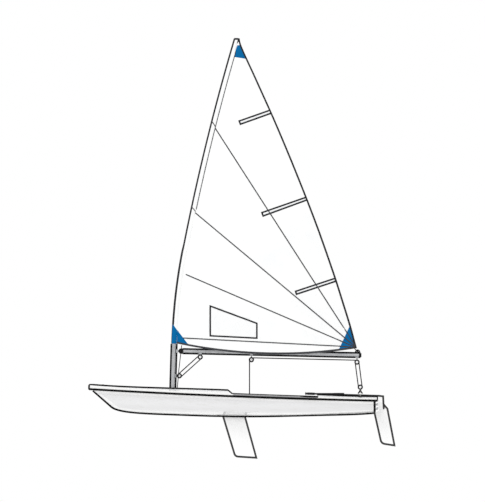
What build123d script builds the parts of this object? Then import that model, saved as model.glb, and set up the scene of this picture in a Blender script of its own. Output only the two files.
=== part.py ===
from build123d import *
from math import asin, atan2, cos, degrees, radians, sin, tan
import os

os.makedirs("parts", exist_ok=True)

# Single-handed sailing dinghy afloat. Millimetres, +X towards the stern, +Z up.
# The origin is on the centreline, in the water's surface, midway along the waterline.

# Hull and deck
hull_length = 4200.0
beam = 1390.0
bow_reach = 2270.0  # origin to the tip of the bow
stern_reach = hull_length - bow_reach
half_beam = beam / 2
hull_depth = 415.0  # keel line to the bow's highest point, the measure of the height shares
transom_inset = 24.0  # the transom stands this far ahead of the deck's aft edge
joint_bow_height = 297.0  # where deck and hull mouldings meet
joint_middle_height = 186.0
joint_stern_height = 128.0
nose_radius = 60.0
nose_angle = 63.0
stern_corner_radius = 60.0
side_deck_rise = 42.0  # side deck above the joint line
foredeck_end_x = -276.0
foredeck_drop_run = 73.0
aft_deck_start_x = 1055.0
aft_deck_rise_run = 44.0
slope_rise_share = 2.4  # height that the foredeck's slope is cut to, in side deck rises
overrun = 40.0  # how far cutting shapes pass the faces that they cut
fit_gap = 0.3  # between pieces that seat on each other

# Cockpit
cockpit_front_x = -10.0
cockpit_back_x = 1040.0
cockpit_front_width = 540.0
cockpit_back_width = 400.0
cockpit_floor_height = 20.0
cockpit_corner_radius = 70.0
cockpit_draft_angle = 7.0
cockpit_wall = 6.0
tub_join_height = 189.0  # inside the thickness of the deck moulding

# Mast and its step
mast_rake = 1.71
mast_setback = 1215.2  # tip of the bow to the mast at the deck
mast_deck_x = mast_setback - bow_reach
mast_deck_height = 310.0
mast_foot_height = -20.0
lower_mast_radius = 31.75
upper_mast_radius = 25.4
mast_wall = 2.6
mast_straight_length = 996.0
lower_bend_radius = 8465.0
lower_bend_angle = 9.26
upper_bend_radius = 33000.0
step_clearance = 0.5
step_wall = 7.0
step_join_height = 268.0
collar_length = 24.0

# Boom
boom_radius = 25.4
boom_wall = 2.2
boom_setback = 127.8  # mast's axis at the deck to the boom's front end
boom_reach = 2618.0
boom_front_x = mast_deck_x + boom_setback
boom_front_height = 857.1
boom_back_x = boom_front_x + boom_reach
boom_back_height = 797.3
boom_cap_length = 14.0
boom_cap_radius = 30.0

# Sail
sail_thickness = 4.0
sleeve_wall = 3.0
sleeve_gap = 0.3
tack_height = 976.0
head_height = 5434.0
head_width = 49.0
head_over_mast = 24.0
clew_inset = 57.0  # ahead of the boom's aft end
clew_x = boom_back_x - clew_inset
clew_height = 908.5
foot_corner_inset = 107.0  # behind the boom's front end
foot_corner_height = 930.0
foot_low_inset = 1323.0
foot_low_height = 809.0
camber_share = 0.085

# Daggerboard
board_thickness = 22.0
board_rake_share = 0.2778  # aft movement for each unit downwards
board_front_x = -334.6  # at the hull's bottom
board_chord = 348.0
board_exit_height = -94.0
board_tip_height = -721.0
board_tip_front_x = -145.0
board_tip_chord = 331.0
board_tip_rise = 24.0  # the tip's front corner above its back corner
board_tip_round = 75.0
nose_margin = 1.0  # leaves the foils' noses uncut
board_side_clearance = 3.0
board_edge_clearance = 5.0
stop_length = 80.0
stop_width = 16.0
stop_height = 13.0

# Rudder
transom_x = stern_reach - transom_inset
pintle_offset = 28.0
pintle_x = transom_x + pintle_offset
pintle_radius = 4.5
pintle_clearance = 0.05
gudgeon_eye_radius = 9.0
gudgeon_eye_height = 18.0
lower_gudgeon_height = 0.0
upper_gudgeon_height = 62.0
gudgeon_plate = 3.0
gudgeon_width = 44.0
pintle_lip = 16.0
head_front_x = pintle_x + 14.0
head_foot_height = 4.0
head_top_height = 218.0
cheek_gap = 26.0
cheek_thickness = 4.0
blade_thickness = 19.0
blade_pivot_x = pintle_x + 78.0
blade_pivot_height = 45.0
blade_reach = 585.0  # pivot to tip, the measure of the blade's and head's shares
blade_tip_round = 85.0
blade_round_radius = 42.0
pivot_pin_radius = 5.0
running_clearance = 0.06

# Tiller and its extension
tiller_radius = 12.7
tiller_back_x = pintle_x + 51.0
tiller_back_height = 203.5
tiller_reach = 965.0
tiller_front_x = tiller_back_x - tiller_reach
tiller_front_height = 232.5
universal_length = 110.0
universal_radius = 18.0
universal_eye_radius = 12.0
universal_eye_height = 16.0
universal_pin_gap = 18.0  # joint's body to the pin
universal_pin_x = tiller_front_x - universal_length - universal_pin_gap
universal_pin_radius = 4.0
universal_pin_reach = 25.0
extension_height = 236.0
extension_offset = 33.0
extension_radius = 9.0
extension_length = 560.0
grip_radius = 10.5
grip_length = 150.0
fork_thickness = 6.0
fork_width = 19.2
fork_socket_radius = 15.0
fork_socket_length = 26.0

# Blocks: a spool of two cheeks and a sheave
block_radius = 34.0
block_width = 26.0
groove_width = 12.0
groove_depth = 9.0
tang_width = 12.0
tang_thickness = 8.0
strap_thickness = 3.0
strap_length = 46.0
ratchet_setback = 105.0  # behind the cockpit's front edge
ratchet_height = 78.0
ratchet_x = cockpit_front_x + ratchet_setback
mid_block_x = ratchet_x  # so that the sheet falls upright
aft_block_x = boom_back_x - 51.0
boom_block_drop = 102.0  # boom centreline to block centre
vang_block_x = boom_front_x + 273.0
vang_block_drop = 80.0
vang_foot_offset = 90.0  # mast's axis to the vang's lower block
vang_foot_height = 496.0
traveller_x = stern_reach - 242.0
traveller_apex = 262.0
traveller_rope_radius = 3.0
fairlead_share = 0.633  # of the half beam
fairlead_offset = fairlead_share * half_beam
fairlead_height = 24.0
sheet_block_height = 330.0


def joint_height(x):
    """Height of the hull and deck joint, from the parabola through its three named heights."""
    low = joint_stern_height - joint_middle_height
    high = joint_bow_height - joint_middle_height
    bend = (low / stern_reach + high / bow_reach) / (stern_reach + bow_reach)
    slope = low / stern_reach - bend * stern_reach
    return joint_middle_height + slope * x + bend * x * x


def boom_height(x):
    fall = (boom_back_height - boom_front_height) / (boom_back_x - boom_front_x)
    return boom_front_height + fall * (x - boom_front_x)


def mast_x(height):
    return mast_deck_x + (height - mast_deck_height) * tan(radians(mast_rake))


# Everything below the joint between the two mouldings
with BuildPart() as below_joint:
    with BuildSketch(Plane.XZ.offset(-beam)):
        with BuildLine():
            back = (stern_reach + overrun, joint_height(stern_reach + overrun))
            middle = (0, joint_middle_height)
            front = (-bow_reach - overrun, joint_height(-bow_reach - overrun))
            joint_arc = ThreePointArc(front, middle, back)
            Polyline(joint_arc @ 1, (back[0], -hull_depth), (front[0], -hull_depth), joint_arc @ 0)
        make_face()
    extrude(amount=2 * beam)

# Hull sections fan out from the raked stem to the upright transom.
# Columns, as shares: keel x, top x of the length from the bow; keel, top of the depth over the water;
# half width at the top, bilge corner out of the half beam; corner up of the depth over the keel;
# bilge and keel radius of the half beam.
hull_section_shares = [
    (0.0881, 0.0010, 0.007, 0.783, 0.020, 0.0140, 0.480, 0.300, 0.006),
    (0.1120, 0.0881, -0.060, 0.735, 0.245, 0.1250, 0.270, 0.200, 0.040),
    (0.2071, 0.1952, -0.137, 0.687, 0.505, 0.3600, 0.215, 0.220, 0.200),
    (0.3738, 0.3702, -0.202, 0.590, 0.770, 0.6250, 0.200, 0.250, 0.700),
    (0.6119, 0.6119, -0.226, 0.494, 0.972, 0.8250, 0.145, 0.280, 1.500),
    (0.8262, 0.8262, -0.174, 0.429, 0.917, 0.7800, 0.100, 0.250, 1.900),
    (0.9943, 0.9943, -0.099, 0.386, 0.757, 0.6450, 0.070, 0.200, 1.900),
]

with BuildPart() as hull:
    for (
        keel_x_share,
        top_x_share,
        keel_share,
        top_share,
        top_width_share,
        corner_share,
        corner_up_share,
        bilge_share,
        keel_radius_share,
    ) in hull_section_shares:
        keel_x = keel_x_share * hull_length - bow_reach
        top_x = top_x_share * hull_length - bow_reach
        keel_z = keel_share * hull_depth
        top_z = top_share * hull_depth
        lean = Vector(top_x - keel_x, 0, top_z - keel_z)
        section_plane = Plane(
            origin=(keel_x, 0, keel_z), x_dir=(0, 1, 0), z_dir=(lean.Z, 0, -lean.X)
        )
        with BuildSketch(section_plane):
            with BuildLine():
                rim = (top_width_share * half_beam, lean.length)
                corner = (corner_share * half_beam, corner_up_share * hull_depth)
                side = FilletPolyline(
                    (-rim[0], rim[1]),
                    (-corner[0], corner[1]),
                    (0, 0),
                    corner,
                    rim,
                    radius=[
                        bilge_share * half_beam,
                        keel_radius_share * half_beam,
                        bilge_share * half_beam,
                    ],
                )
                Line(side @ 1, side @ 0)
            make_face()
    loft()
    add(below_joint.part, mode=Mode.INTERSECT)

# Deck edge in plan. Columns: x and half width, as shares of the length from the bow and the half beam
deck_edge_shares = [
    (0.0881, 0.290),
    (0.1952, 0.548),
    (0.3702, 0.812),
    (0.6119, 1.000),
    (0.8262, 0.940),
    (1.0000, 0.787),
]

# Deck crown. Columns: x, height on the centreline and fall at the half beam, as shares of
# the length from the bow, the hull depth and the hull depth
crown_shares = [
    (-0.0100, 0.874, 0.122),
    (0.3000, 0.726, 0.122),
    (0.4900, 0.664, 0.122),
    (0.8000, 0.508, 0.055),
    (1.0100, 0.440, 0.055),
]

with BuildPart() as crown_form:
    for x_share, height_share, fall_share in crown_shares:
        crown_z = height_share * hull_depth
        edge_z = crown_z - fall_share * hull_depth
        with BuildSketch(Plane.YZ.offset(x_share * hull_length - bow_reach)):
            with BuildLine():
                crown_arc = ThreePointArc((-half_beam, edge_z), (0, crown_z), (half_beam, edge_z))
                Polyline(
                    crown_arc @ 1, (half_beam, -hull_depth), (-half_beam, -hull_depth), crown_arc @ 0
                )
            make_face()
    loft()

# The raised foredeck and aft deck end in slopes; between them the side decks lie level
with BuildPart() as side_deck_cut:
    with BuildSketch(Plane.XZ.offset(-beam)):
        low_front = foredeck_end_x + foredeck_drop_run
        low_back = aft_deck_start_x
        low_middle = (low_front + low_back) / 2
        high_back = aft_deck_start_x + aft_deck_rise_run
        with BuildLine():
            floor_arc = ThreePointArc(
                (low_front, joint_height(low_front) + side_deck_rise),
                (low_middle, joint_height(low_middle) + side_deck_rise),
                (low_back, joint_height(low_back) + side_deck_rise),
            )
            Polyline(
                floor_arc @ 1,
                (high_back, joint_height(high_back) + 2 * side_deck_rise),
                (high_back, hull_depth),
                (foredeck_end_x, hull_depth),
                (foredeck_end_x, joint_height(foredeck_end_x) + slope_rise_share * side_deck_rise),
                floor_arc @ 0,
            )
        make_face()
    extrude(amount=2 * beam)

# The cockpit tub, outside and inside, between the floor and the deck
cockpit_length = cockpit_back_x - cockpit_front_x
tub_draw = tan(radians(cockpit_draft_angle))


def cockpit_outline(height, grow):
    """Corner points of the tub at a height, grown outwards by a wall."""
    inset = (tub_join_height - height) * tub_draw - grow
    return [
        (cockpit_front_x + inset, -cockpit_front_width / 2 + inset),
        (cockpit_back_x - inset, -cockpit_back_width / 2 + inset),
        (cockpit_back_x - inset, cockpit_back_width / 2 - inset),
        (cockpit_front_x + inset, cockpit_front_width / 2 - inset),
    ]


with BuildPart() as tub_inside:
    for height in (cockpit_floor_height, tub_join_height + side_deck_rise + overrun):
        with BuildSketch(Plane.XY.offset(height)) as tub_section:
            Polygon(cockpit_outline(height, 0), align=None)
            fillet(tub_section.vertices(), cockpit_corner_radius)
    loft()

with BuildPart() as tub_reach:  # what fittings on the cockpit's walls may fill
    for height in (cockpit_floor_height + fit_gap, tub_join_height):
        with BuildSketch(Plane.XY.offset(height)) as tub_section:
            Polygon(cockpit_outline(height, -fit_gap), align=None)
            fillet(tub_section.vertices(), cockpit_corner_radius)
    loft()

with BuildPart() as tub_outside:
    for height in (cockpit_floor_height - cockpit_wall, tub_join_height):
        with BuildSketch(Plane.XY.offset(height)) as tub_section:
            Polygon(cockpit_outline(height, cockpit_wall), align=None)
            fillet(tub_section.vertices(), cockpit_corner_radius + cockpit_wall)
    loft()

# The mast step, a deep cup that is moulded with the deck
mast_foot = Vector(mast_x(mast_foot_height), 0, mast_foot_height)
mast_axis = Vector(sin(radians(mast_rake)), 0, cos(radians(mast_rake)))
mast_plane = Plane(origin=mast_foot, x_dir=(mast_axis.Z, 0, -mast_axis.X), z_dir=mast_axis)
step_length = (step_join_height - mast_foot_height) / mast_axis.Z

with BuildPart() as step_outside:
    with BuildSketch(mast_plane.offset(-fit_gap - step_wall)):
        Circle(lower_mast_radius + step_clearance + step_wall)
    extrude(amount=step_length + step_wall)

with BuildPart() as step_inside:
    with BuildSketch(mast_plane.offset(-fit_gap)):
        Circle(lower_mast_radius + step_clearance)
    extrude(amount=step_length + hull_depth)


# The daggerboard's case, cut along the board's rake through hull and deck
def board_point(height, chord_share):
    rake = (board_exit_height - height) * board_rake_share
    return board_front_x + rake + chord_share * board_chord


with BuildPart() as board_case:
    for height in (-hull_depth, hull_depth):
        with BuildSketch(Plane.XY.offset(height)):
            with Locations((board_point(height, 0.5), 0)):
                SlotOverall(
                    board_chord + 2 * board_edge_clearance,
                    board_thickness + 2 * board_side_clearance,
                )
    loft()

with BuildPart() as deck:
    with BuildSketch() as deck_plan:
        with BuildLine():
            nose = (
                nose_radius - nose_radius * cos(radians(nose_angle)) - bow_reach,
                nose_radius * sin(radians(nose_angle)),
            )
            edge = [
                (x_share * hull_length - bow_reach, width_share * half_beam)
                for x_share, width_share in deck_edge_shares
            ]
            slope = Vector(sin(radians(nose_angle)), cos(radians(nose_angle)))
            stern_slope = Vector(edge[-1][0] - edge[-2][0], edge[-1][1] - edge[-2][1])
            starboard = Spline(nose, *edge, tangents=[slope, stern_slope])
            mirror(starboard, about=Plane.XZ)
            ThreePointArc((nose[0], -nose[1]), (-bow_reach, 0), nose)
            Line(edge[-1], (edge[-1][0], -edge[-1][1]))
        make_face()
        fillet(deck_plan.vertices().group_by(Axis.X)[-1], stern_corner_radius)
    extrude(amount=hull_depth)
    add(crown_form.part, mode=Mode.INTERSECT)
    add(below_joint.part, mode=Mode.SUBTRACT)
    add(side_deck_cut.part, mode=Mode.SUBTRACT)
    add(tub_outside.part)
    add(step_outside.part)
    add(tub_inside.part, mode=Mode.SUBTRACT)
    add(step_inside.part, mode=Mode.SUBTRACT)
    add(board_case.part, mode=Mode.SUBTRACT)
deck.part.label = "deck"
export_step(deck.part, "parts/deck.step")

with BuildPart(mode=Mode.PRIVATE) as hull_cut:
    add(hull.part)
    add(tub_outside.part, mode=Mode.SUBTRACT)
    add(step_outside.part, mode=Mode.SUBTRACT)
    add(board_case.part, mode=Mode.SUBTRACT)
hull_cut.part.label = "hull"
export_step(hull_cut.part, "parts/hull.step")


# Fittings that stand on the deck take their height and slope from its surface
def deck_top(x, y=0):
    probe = Edge.make_line((x, y, hull_depth), (x, y, 0))
    return max(vertex.Z for piece in deck.part.intersect(probe) for vertex in piece.vertices())


def deck_plane(x, reach):
    """A plane that lies on the deck's centreline over a fitting's length."""
    front = Vector(x - reach, 0, deck_top(x - reach) + fit_gap)
    back = Vector(x + reach, 0, deck_top(x + reach) + fit_gap)
    along = (back - front).normalized()
    return Plane(origin=(front + back) / 2, x_dir=along, z_dir=Vector(-along.Z, 0, along.X))


# The towing eye on the bow: a base plate with an arched eye
bow_eye_x = 194.0 - bow_reach
bow_eye_length = 88.0
bow_eye_width = 30.0
bow_eye_base = 8.0
bow_eye_radius = 13.0
bow_eye_bore = 7.0
bow_eye_thickness = 9.0

bow_eye_plane = deck_plane(bow_eye_x, bow_eye_length / 2)
bow_eye_side = Plane(origin=bow_eye_plane.origin, x_dir=bow_eye_plane.x_dir, z_dir=-bow_eye_plane.y_dir)
with BuildPart() as bow_eye:
    with BuildSketch(bow_eye_plane):
        SlotOverall(bow_eye_length, bow_eye_width)
    extrude(amount=bow_eye_base)
    with BuildSketch(bow_eye_side.offset(-bow_eye_thickness / 2)):
        with Locations((0, bow_eye_base + bow_eye_bore)):
            Circle(bow_eye_radius)
            Rectangle(2 * bow_eye_radius, bow_eye_bore, align=(Align.CENTER, Align.MAX))
            Circle(bow_eye_bore, mode=Mode.SUBTRACT)
    extrude(amount=bow_eye_thickness)
bow_eye.part.label = "bow_eye"
export_step(bow_eye.part, "parts/bow_eye.step")

# The plate of cam cleats for the control lines, ahead of the daggerboard
cleat_plate_x = foredeck_end_x - 220.0
cleat_plate_length = 90.0
cleat_plate_width = 190.0
cleat_plate_thickness = 5.0
cleat_height = 22.0
cleat_length = 42.0
cleat_jaw_width = 14.0
cleat_jaw_share = 0.9
cleat_spacing = 46.0
cleat_count = 4

cleat_plane = deck_plane(cleat_plate_x, cleat_plate_length / 2)
with BuildPart() as control_line_cleats:
    with BuildSketch(cleat_plane):
        RectangleRounded(cleat_plate_length, cleat_plate_width, cleat_jaw_width)
    extrude(amount=cleat_plate_thickness)
    with BuildSketch(cleat_plane.offset(cleat_plate_thickness)):
        with GridLocations(cleat_length, cleat_spacing, 1, cleat_count):
            with Locations((0, cleat_jaw_width / 2), (0, -cleat_jaw_width / 2)):
                SlotOverall(cleat_length, cleat_jaw_width * cleat_jaw_share)
    extrude(amount=cleat_height - cleat_plate_thickness)
control_line_cleats.part.label = "control_line_cleats"
export_step(control_line_cleats.part, "parts/control_line_cleats.step")


def tube_between(start, end, outer, inner=0):
    """A straight round bar or tube between two points."""
    run = Vector(*end) - Vector(*start)
    with BuildPart() as bar:
        with BuildSketch(Plane(origin=start, z_dir=run)):
            Circle(outer)
            if inner:
                Circle(inner, mode=Mode.SUBTRACT)
        extrude(amount=run.length)
    return bar.part


# Mast: straight in its step and up to the tack, then bent aft under load
bend_start = mast_foot + mast_axis * mast_straight_length
with BuildPart() as mast_lower:
    with BuildLine(Plane.XZ) as lower_path:
        straight = Line((mast_foot.X, mast_foot.Z), (bend_start.X, bend_start.Z))
        lower_bend = JernArc(straight @ 1, straight % 1, lower_bend_radius, -lower_bend_angle)
    with BuildSketch(mast_plane):
        Circle(lower_mast_radius)
        Circle(lower_mast_radius - mast_wall, mode=Mode.SUBTRACT)
    sweep(path=lower_path.line)
mast_lower.part.label = "mast_lower"
export_step(mast_lower.part, "parts/mast_lower.step")

joint_point = lower_bend @ 1
joint_axis = lower_bend % 1
joint_plane = Plane(origin=joint_point, x_dir=(joint_axis.Z, 0, -joint_axis.X), z_dir=joint_axis)

with BuildPart() as mast_collar:
    with BuildSketch(joint_plane):
        Circle(lower_mast_radius)
        Circle(upper_mast_radius, mode=Mode.SUBTRACT)
    extrude(amount=collar_length)
mast_collar.part.label = "mast_collar"
export_step(mast_collar.part, "parts/mast_collar.step")

upper_bend_start = mast_rake + lower_bend_angle
upper_bend_rise = head_height - head_over_mast - joint_point.Z
upper_bend_angle = (
    degrees(asin(sin(radians(upper_bend_start)) + upper_bend_rise / upper_bend_radius)) - upper_bend_start
)
with BuildPart() as mast_upper:
    with BuildLine(Plane.XZ) as upper_path:
        upper_bend = JernArc(
            (joint_point.X, joint_point.Z), (joint_axis.X, joint_axis.Z), upper_bend_radius, -upper_bend_angle
        )
    with BuildSketch(joint_plane):
        Circle(upper_mast_radius)
        Circle(upper_mast_radius - mast_wall, mode=Mode.SUBTRACT)
    sweep(path=upper_path.line)
mast_upper.part.label = "mast_upper"
export_step(mast_upper.part, "parts/mast_upper.step")
mast_top = upper_bend @ 1
top_axis = upper_bend % 1

# Boom tube with its two plugs
boom_front = Vector(boom_front_x, 0, boom_front_height)
boom_back = Vector(boom_back_x, 0, boom_back_height)
boom_axis = (boom_back - boom_front).normalized()
boom_side = Vector(boom_axis.Z, 0, -boom_axis.X)
boom_front_plane = Plane(origin=boom_front, x_dir=boom_side, z_dir=boom_axis)
boom_back_plane = Plane(origin=boom_back, x_dir=boom_side, z_dir=boom_axis)

with BuildPart() as boom:
    with BuildSketch(boom_front_plane):
        Circle(boom_radius)
        Circle(boom_radius - boom_wall, mode=Mode.SUBTRACT)
    extrude(amount=(boom_back - boom_front).length)
boom.part.label = "boom"
export_step(boom.part, "parts/boom.step")

with BuildPart() as boom_end_cap:
    with BuildSketch(boom_back_plane):
        Circle(boom_cap_radius)
    extrude(amount=boom_cap_length)
    chamfer(boom_end_cap.edges().filter_by(GeomType.CIRCLE), strap_thickness)
boom_end_cap.part.label = "boom_end_cap"
export_step(boom_end_cap.part, "parts/boom_end_cap.step")

# The boom's front plug takes the gooseneck's pin
plug_length = 22.0
plug_nose_length = 26.0
plug_nose_radius = 13.0
gooseneck_pin_radius = 5.0
gooseneck_pin_length = 30.0
gooseneck_band_height = 46.0

with BuildPart() as boom_front_plug:
    with BuildSketch(boom_front_plane):
        Circle(boom_radius)
    extrude(amount=-plug_length)
    with BuildSketch(boom_front_plane.offset(-plug_length)):
        Circle(boom_radius)
    with BuildSketch(boom_front_plane.offset(-plug_length - plug_nose_length)):
        Circle(plug_nose_radius)
    loft()
    with BuildSketch(boom_front_plane.offset(-plug_length - plug_nose_length)):
        Circle(gooseneck_pin_radius + running_clearance)
    extrude(amount=gooseneck_pin_length, mode=Mode.SUBTRACT)
boom_front_plug.part.label = "boom_front_plug"
export_step(boom_front_plug.part, "parts/boom_front_plug.step")


def mast_band(height, band_height, reach, width):
    """A saddle round the back of the mast with an arm that reaches aft."""
    foot = Vector(mast_x(height - band_height / 2), 0, height - band_height / 2)
    plane = Plane(origin=foot, x_dir=mast_plane.x_dir, z_dir=mast_axis)
    with BuildPart() as band:
        with BuildSketch(plane):
            Circle(lower_mast_radius + fit_gap + strap_thickness)
            with Locations((reach / 2, 0)):
                Rectangle(reach, width)
            Circle(lower_mast_radius + fit_gap, mode=Mode.SUBTRACT)
            with Locations((-lower_mast_radius, 0)):
                Rectangle(2 * lower_mast_radius, 4 * lower_mast_radius, mode=Mode.SUBTRACT)
        extrude(amount=band_height)
    return band.part


nose_tip = boom_front - boom_axis * (plug_length + plug_nose_length)
gooseneck_reach = nose_tip.X - mast_x(nose_tip.Z) - fit_gap
with BuildPart() as gooseneck:
    add(mast_band(nose_tip.Z, gooseneck_band_height, gooseneck_reach, 2 * plug_nose_radius))
    add(
        tube_between(
            nose_tip - boom_axis * plug_nose_radius,
            nose_tip + boom_axis * (gooseneck_pin_length - 2 * strap_thickness),
            gooseneck_pin_radius,
        )
    )
gooseneck.part.label = "gooseneck"
export_step(gooseneck.part, "parts/gooseneck.step")


def block(x, z, radius, hang_x, hang_z, tang_end):
    """A single block with its tang towards the fitting that holds it."""
    reach = Vector(hang_x - x, 0, hang_z - z)
    reach_length = reach.length - tang_end
    angle = degrees(atan2(reach.Z, reach.X))
    with BuildPart() as spool:
        with BuildSketch(Plane.XY):
            with Locations((radius / 2, 0)):
                Rectangle(radius, block_width)
            with Locations((radius, 0)):
                Rectangle(2 * groove_depth, groove_width, mode=Mode.SUBTRACT)
        revolve(axis=Axis.Y)
        with BuildSketch(Plane.XZ.offset(-tang_thickness / 2)):
            with Locations(Location((0, 0), angle)):
                Rectangle(reach_length, tang_width, align=(Align.MIN, Align.CENTER))
        extrude(amount=tang_thickness)
    return Pos(x, 0, z) * spool.part


def boom_strap(x, tang_drop):
    """A saddle under the boom with a tang hanging from it."""
    centre = Vector(x, 0, boom_height(x))
    plane = Plane(origin=centre - boom_axis * (strap_length / 2), x_dir=boom_side, z_dir=boom_axis)
    with BuildPart() as strap:
        with BuildSketch(plane):
            Circle(boom_radius + fit_gap + strap_thickness)
            with Locations((tang_drop / 2, 0)):
                Rectangle(tang_drop, 3 * tang_thickness)
            Circle(boom_radius + fit_gap, mode=Mode.SUBTRACT)
            with Locations((-boom_radius, 0)):
                Rectangle(2 * boom_radius, 4 * boom_radius, mode=Mode.SUBTRACT)
        extrude(amount=strap_length)
    return strap.part


strap_drop = 40.0  # boom centreline to the foot of a strap
hangers = [
    ("mainsheet_mid_strap", mid_block_x),
    ("mainsheet_aft_strap", aft_block_x),
    ("vang_key", vang_block_x),
]
for label, x in hangers:
    piece = boom_strap(x, strap_drop)
    piece.label = label
    export_step(piece, f"parts/{label}.step")

# Blocks that hang from the boom. Columns: name, x, drop of the centre below the boom's centreline
boom_blocks = [
    ("mainsheet_mid_block", mid_block_x, boom_block_drop),
    ("mainsheet_aft_block", aft_block_x, boom_block_drop),
    ("vang_upper_block", vang_block_x, vang_block_drop),
]
for label, x, drop in boom_blocks:
    piece = block(x, boom_height(x) - drop, block_radius, x, boom_height(x), strap_drop + fit_gap)
    piece.label = label
    export_step(piece, f"parts/{label}.step")

# The vang's lower block on its band round the mast
vang_band_reach = 44.0
vang_band = mast_band(vang_foot_height, gooseneck_band_height, vang_band_reach, 3 * tang_thickness)
vang_band.label = "vang_band"
export_step(vang_band, "parts/vang_band.step")

vang_mast_x = mast_x(vang_foot_height)
vang_foot_x = vang_mast_x + vang_foot_offset
vang_lower = block(
    vang_foot_x, vang_foot_height, block_radius, vang_mast_x, vang_foot_height, vang_band_reach + fit_gap
)
vang_lower.label = "vang_lower_block"
export_step(vang_lower, "parts/vang_lower_block.step")

# The outhaul's eye on top of the boom
outhaul_x = boom_back_x - 42.0
outhaul_radius = 20.0
outhaul_bore = 12.0
with BuildPart() as outhaul_eye:
    with BuildSketch(Plane.XZ.offset(-tang_thickness / 2)):
        with Locations((outhaul_x, boom_height(outhaul_x) + boom_radius + outhaul_bore / 2)):
            Circle(outhaul_radius)
            Circle(outhaul_bore, mode=Mode.SUBTRACT)
    extrude(amount=tang_thickness)
    add(tube_between(boom_front, boom_back, boom_radius + fit_gap), mode=Mode.SUBTRACT)
outhaul_eye.part.label = "outhaul_eye"
export_step(outhaul_eye.part, "parts/outhaul_eye.step")

# Sail: a cambered sheet cut to its outline, with a sleeve round the mast.
# Columns, as shares of the height from clew to head: height over the clew, reach aft of the straight
# line from clew to head, and how far the leech falls off to port
sail_section_shares = [
    (-0.0460, -0.0050, 0.0000),
    (0.2350, 0.0238, 0.0133),
    (0.5580, 0.0267, 0.0199),
    (0.8650, 0.0102, 0.0133),
    (1.0280, 0.0231, 0.0035),
]


def sail_axis_x(height):
    """The mast's axis at a height, by its straight foot and its two bends."""
    straight_top = straight @ 1
    if height <= straight_top.Z:
        return mast_x(height)
    if height <= joint_point.Z:
        angle0 = radians(mast_rake)
        radius = lower_bend_radius
        start = straight_top
    else:
        angle0 = radians(mast_rake + lower_bend_angle)
        radius = upper_bend_radius
        start = joint_point
    centre_x = start.X + radius * cos(angle0)
    centre_z = start.Z - radius * sin(angle0)
    return centre_x - (radius * radius - (height - centre_z) ** 2) ** 0.5


head_x = sail_axis_x(head_height) + head_width
leech_rise = head_height - clew_height


def leech_point(height_share, reach_share):
    """x and height of a place by the straight line from clew to head."""
    line_x = clew_x + height_share * (head_x - clew_x)
    return (line_x + reach_share * leech_rise, clew_height + height_share * leech_rise)


with BuildPart() as sail:
    for height_share, reach_share, fall_share in sail_section_shares:
        leech_x, height = leech_point(height_share, reach_share)
        fall = fall_share * leech_rise
        luff_x = sail_axis_x(height)
        middle_x = (luff_x + leech_x) / 2
        depth = camber_share * (leech_x - luff_x) + fall / 2
        with BuildSketch(Plane.XY.offset(height)):
            with BuildLine():
                faces = [
                    ThreePointArc((luff_x, side), (middle_x, side - depth), (leech_x, side - fall))
                    for side in (-sail_thickness / 2, sail_thickness / 2)
                ]
                Line(faces[0] @ 0, faces[1] @ 0)
                Line(faces[0] @ 1, faces[1] @ 1)
            make_face()
    loft()

# The sail's outline in side view. Columns: the leech's points, as the sections' first two columns
leech_shares = [
    (0.0722, 0.0069),
    (0.1537, 0.0126),
    (0.2348, 0.0174),
    (0.3963, 0.0219),
    (0.5581, 0.0203),
    (0.7196, 0.0131),
    (0.8650, 0.0031),
    (0.9792, -0.0059),
]
with BuildPart(mode=Mode.PRIVATE) as sail_outline:
    with BuildSketch(Plane.XZ.offset(-beam)):
        with BuildLine():
            luff_stops = [tack_height, joint_point.Z, head_height]
            for low, high in zip(luff_stops, luff_stops[1:]):
                heights = (low, (low + high) / 2, high)
                ThreePointArc(*[(sail_axis_x(height), height) for height in heights])
            leech = Spline((clew_x, clew_height), *[leech_point(*shares) for shares in leech_shares])
            Polyline((sail_axis_x(head_height), head_height), (head_x, head_height), leech @ 1)
            foot_corner = (boom_front_x + foot_corner_inset, foot_corner_height)
            foot_low = (boom_front_x + foot_low_inset, foot_low_height)
            ThreePointArc(foot_corner, foot_low, (clew_x, clew_height))
            Line((sail_axis_x(tack_height), tack_height), foot_corner)
        make_face()
    extrude(amount=2 * beam)

with BuildPart(mode=Mode.PRIVATE) as mast_clearance:
    with BuildSketch(mast_plane):
        Circle(lower_mast_radius + sleeve_gap)
    extrude(amount=mast_straight_length)
    with BuildSketch(Plane(origin=straight @ 1, x_dir=mast_plane.x_dir, z_dir=mast_axis)):
        Circle(lower_mast_radius + sleeve_gap)
    with BuildLine(Plane.XZ):
        bend_path = JernArc(straight @ 1, straight % 1, lower_bend_radius, -lower_bend_angle)
    sweep(path=bend_path)
    with BuildSketch(joint_plane):
        Circle(lower_mast_radius + sleeve_gap)
    extrude(amount=collar_length + sleeve_gap)
    with BuildSketch(joint_plane):
        Circle(upper_mast_radius + sleeve_gap)
    sweep(path=upper_path.line)
    with BuildSketch(Plane(origin=mast_top, x_dir=(top_axis.Z, 0, -top_axis.X), z_dir=top_axis)):
        Circle(upper_mast_radius + sleeve_gap)
    extrude(amount=sleeve_gap)

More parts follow.
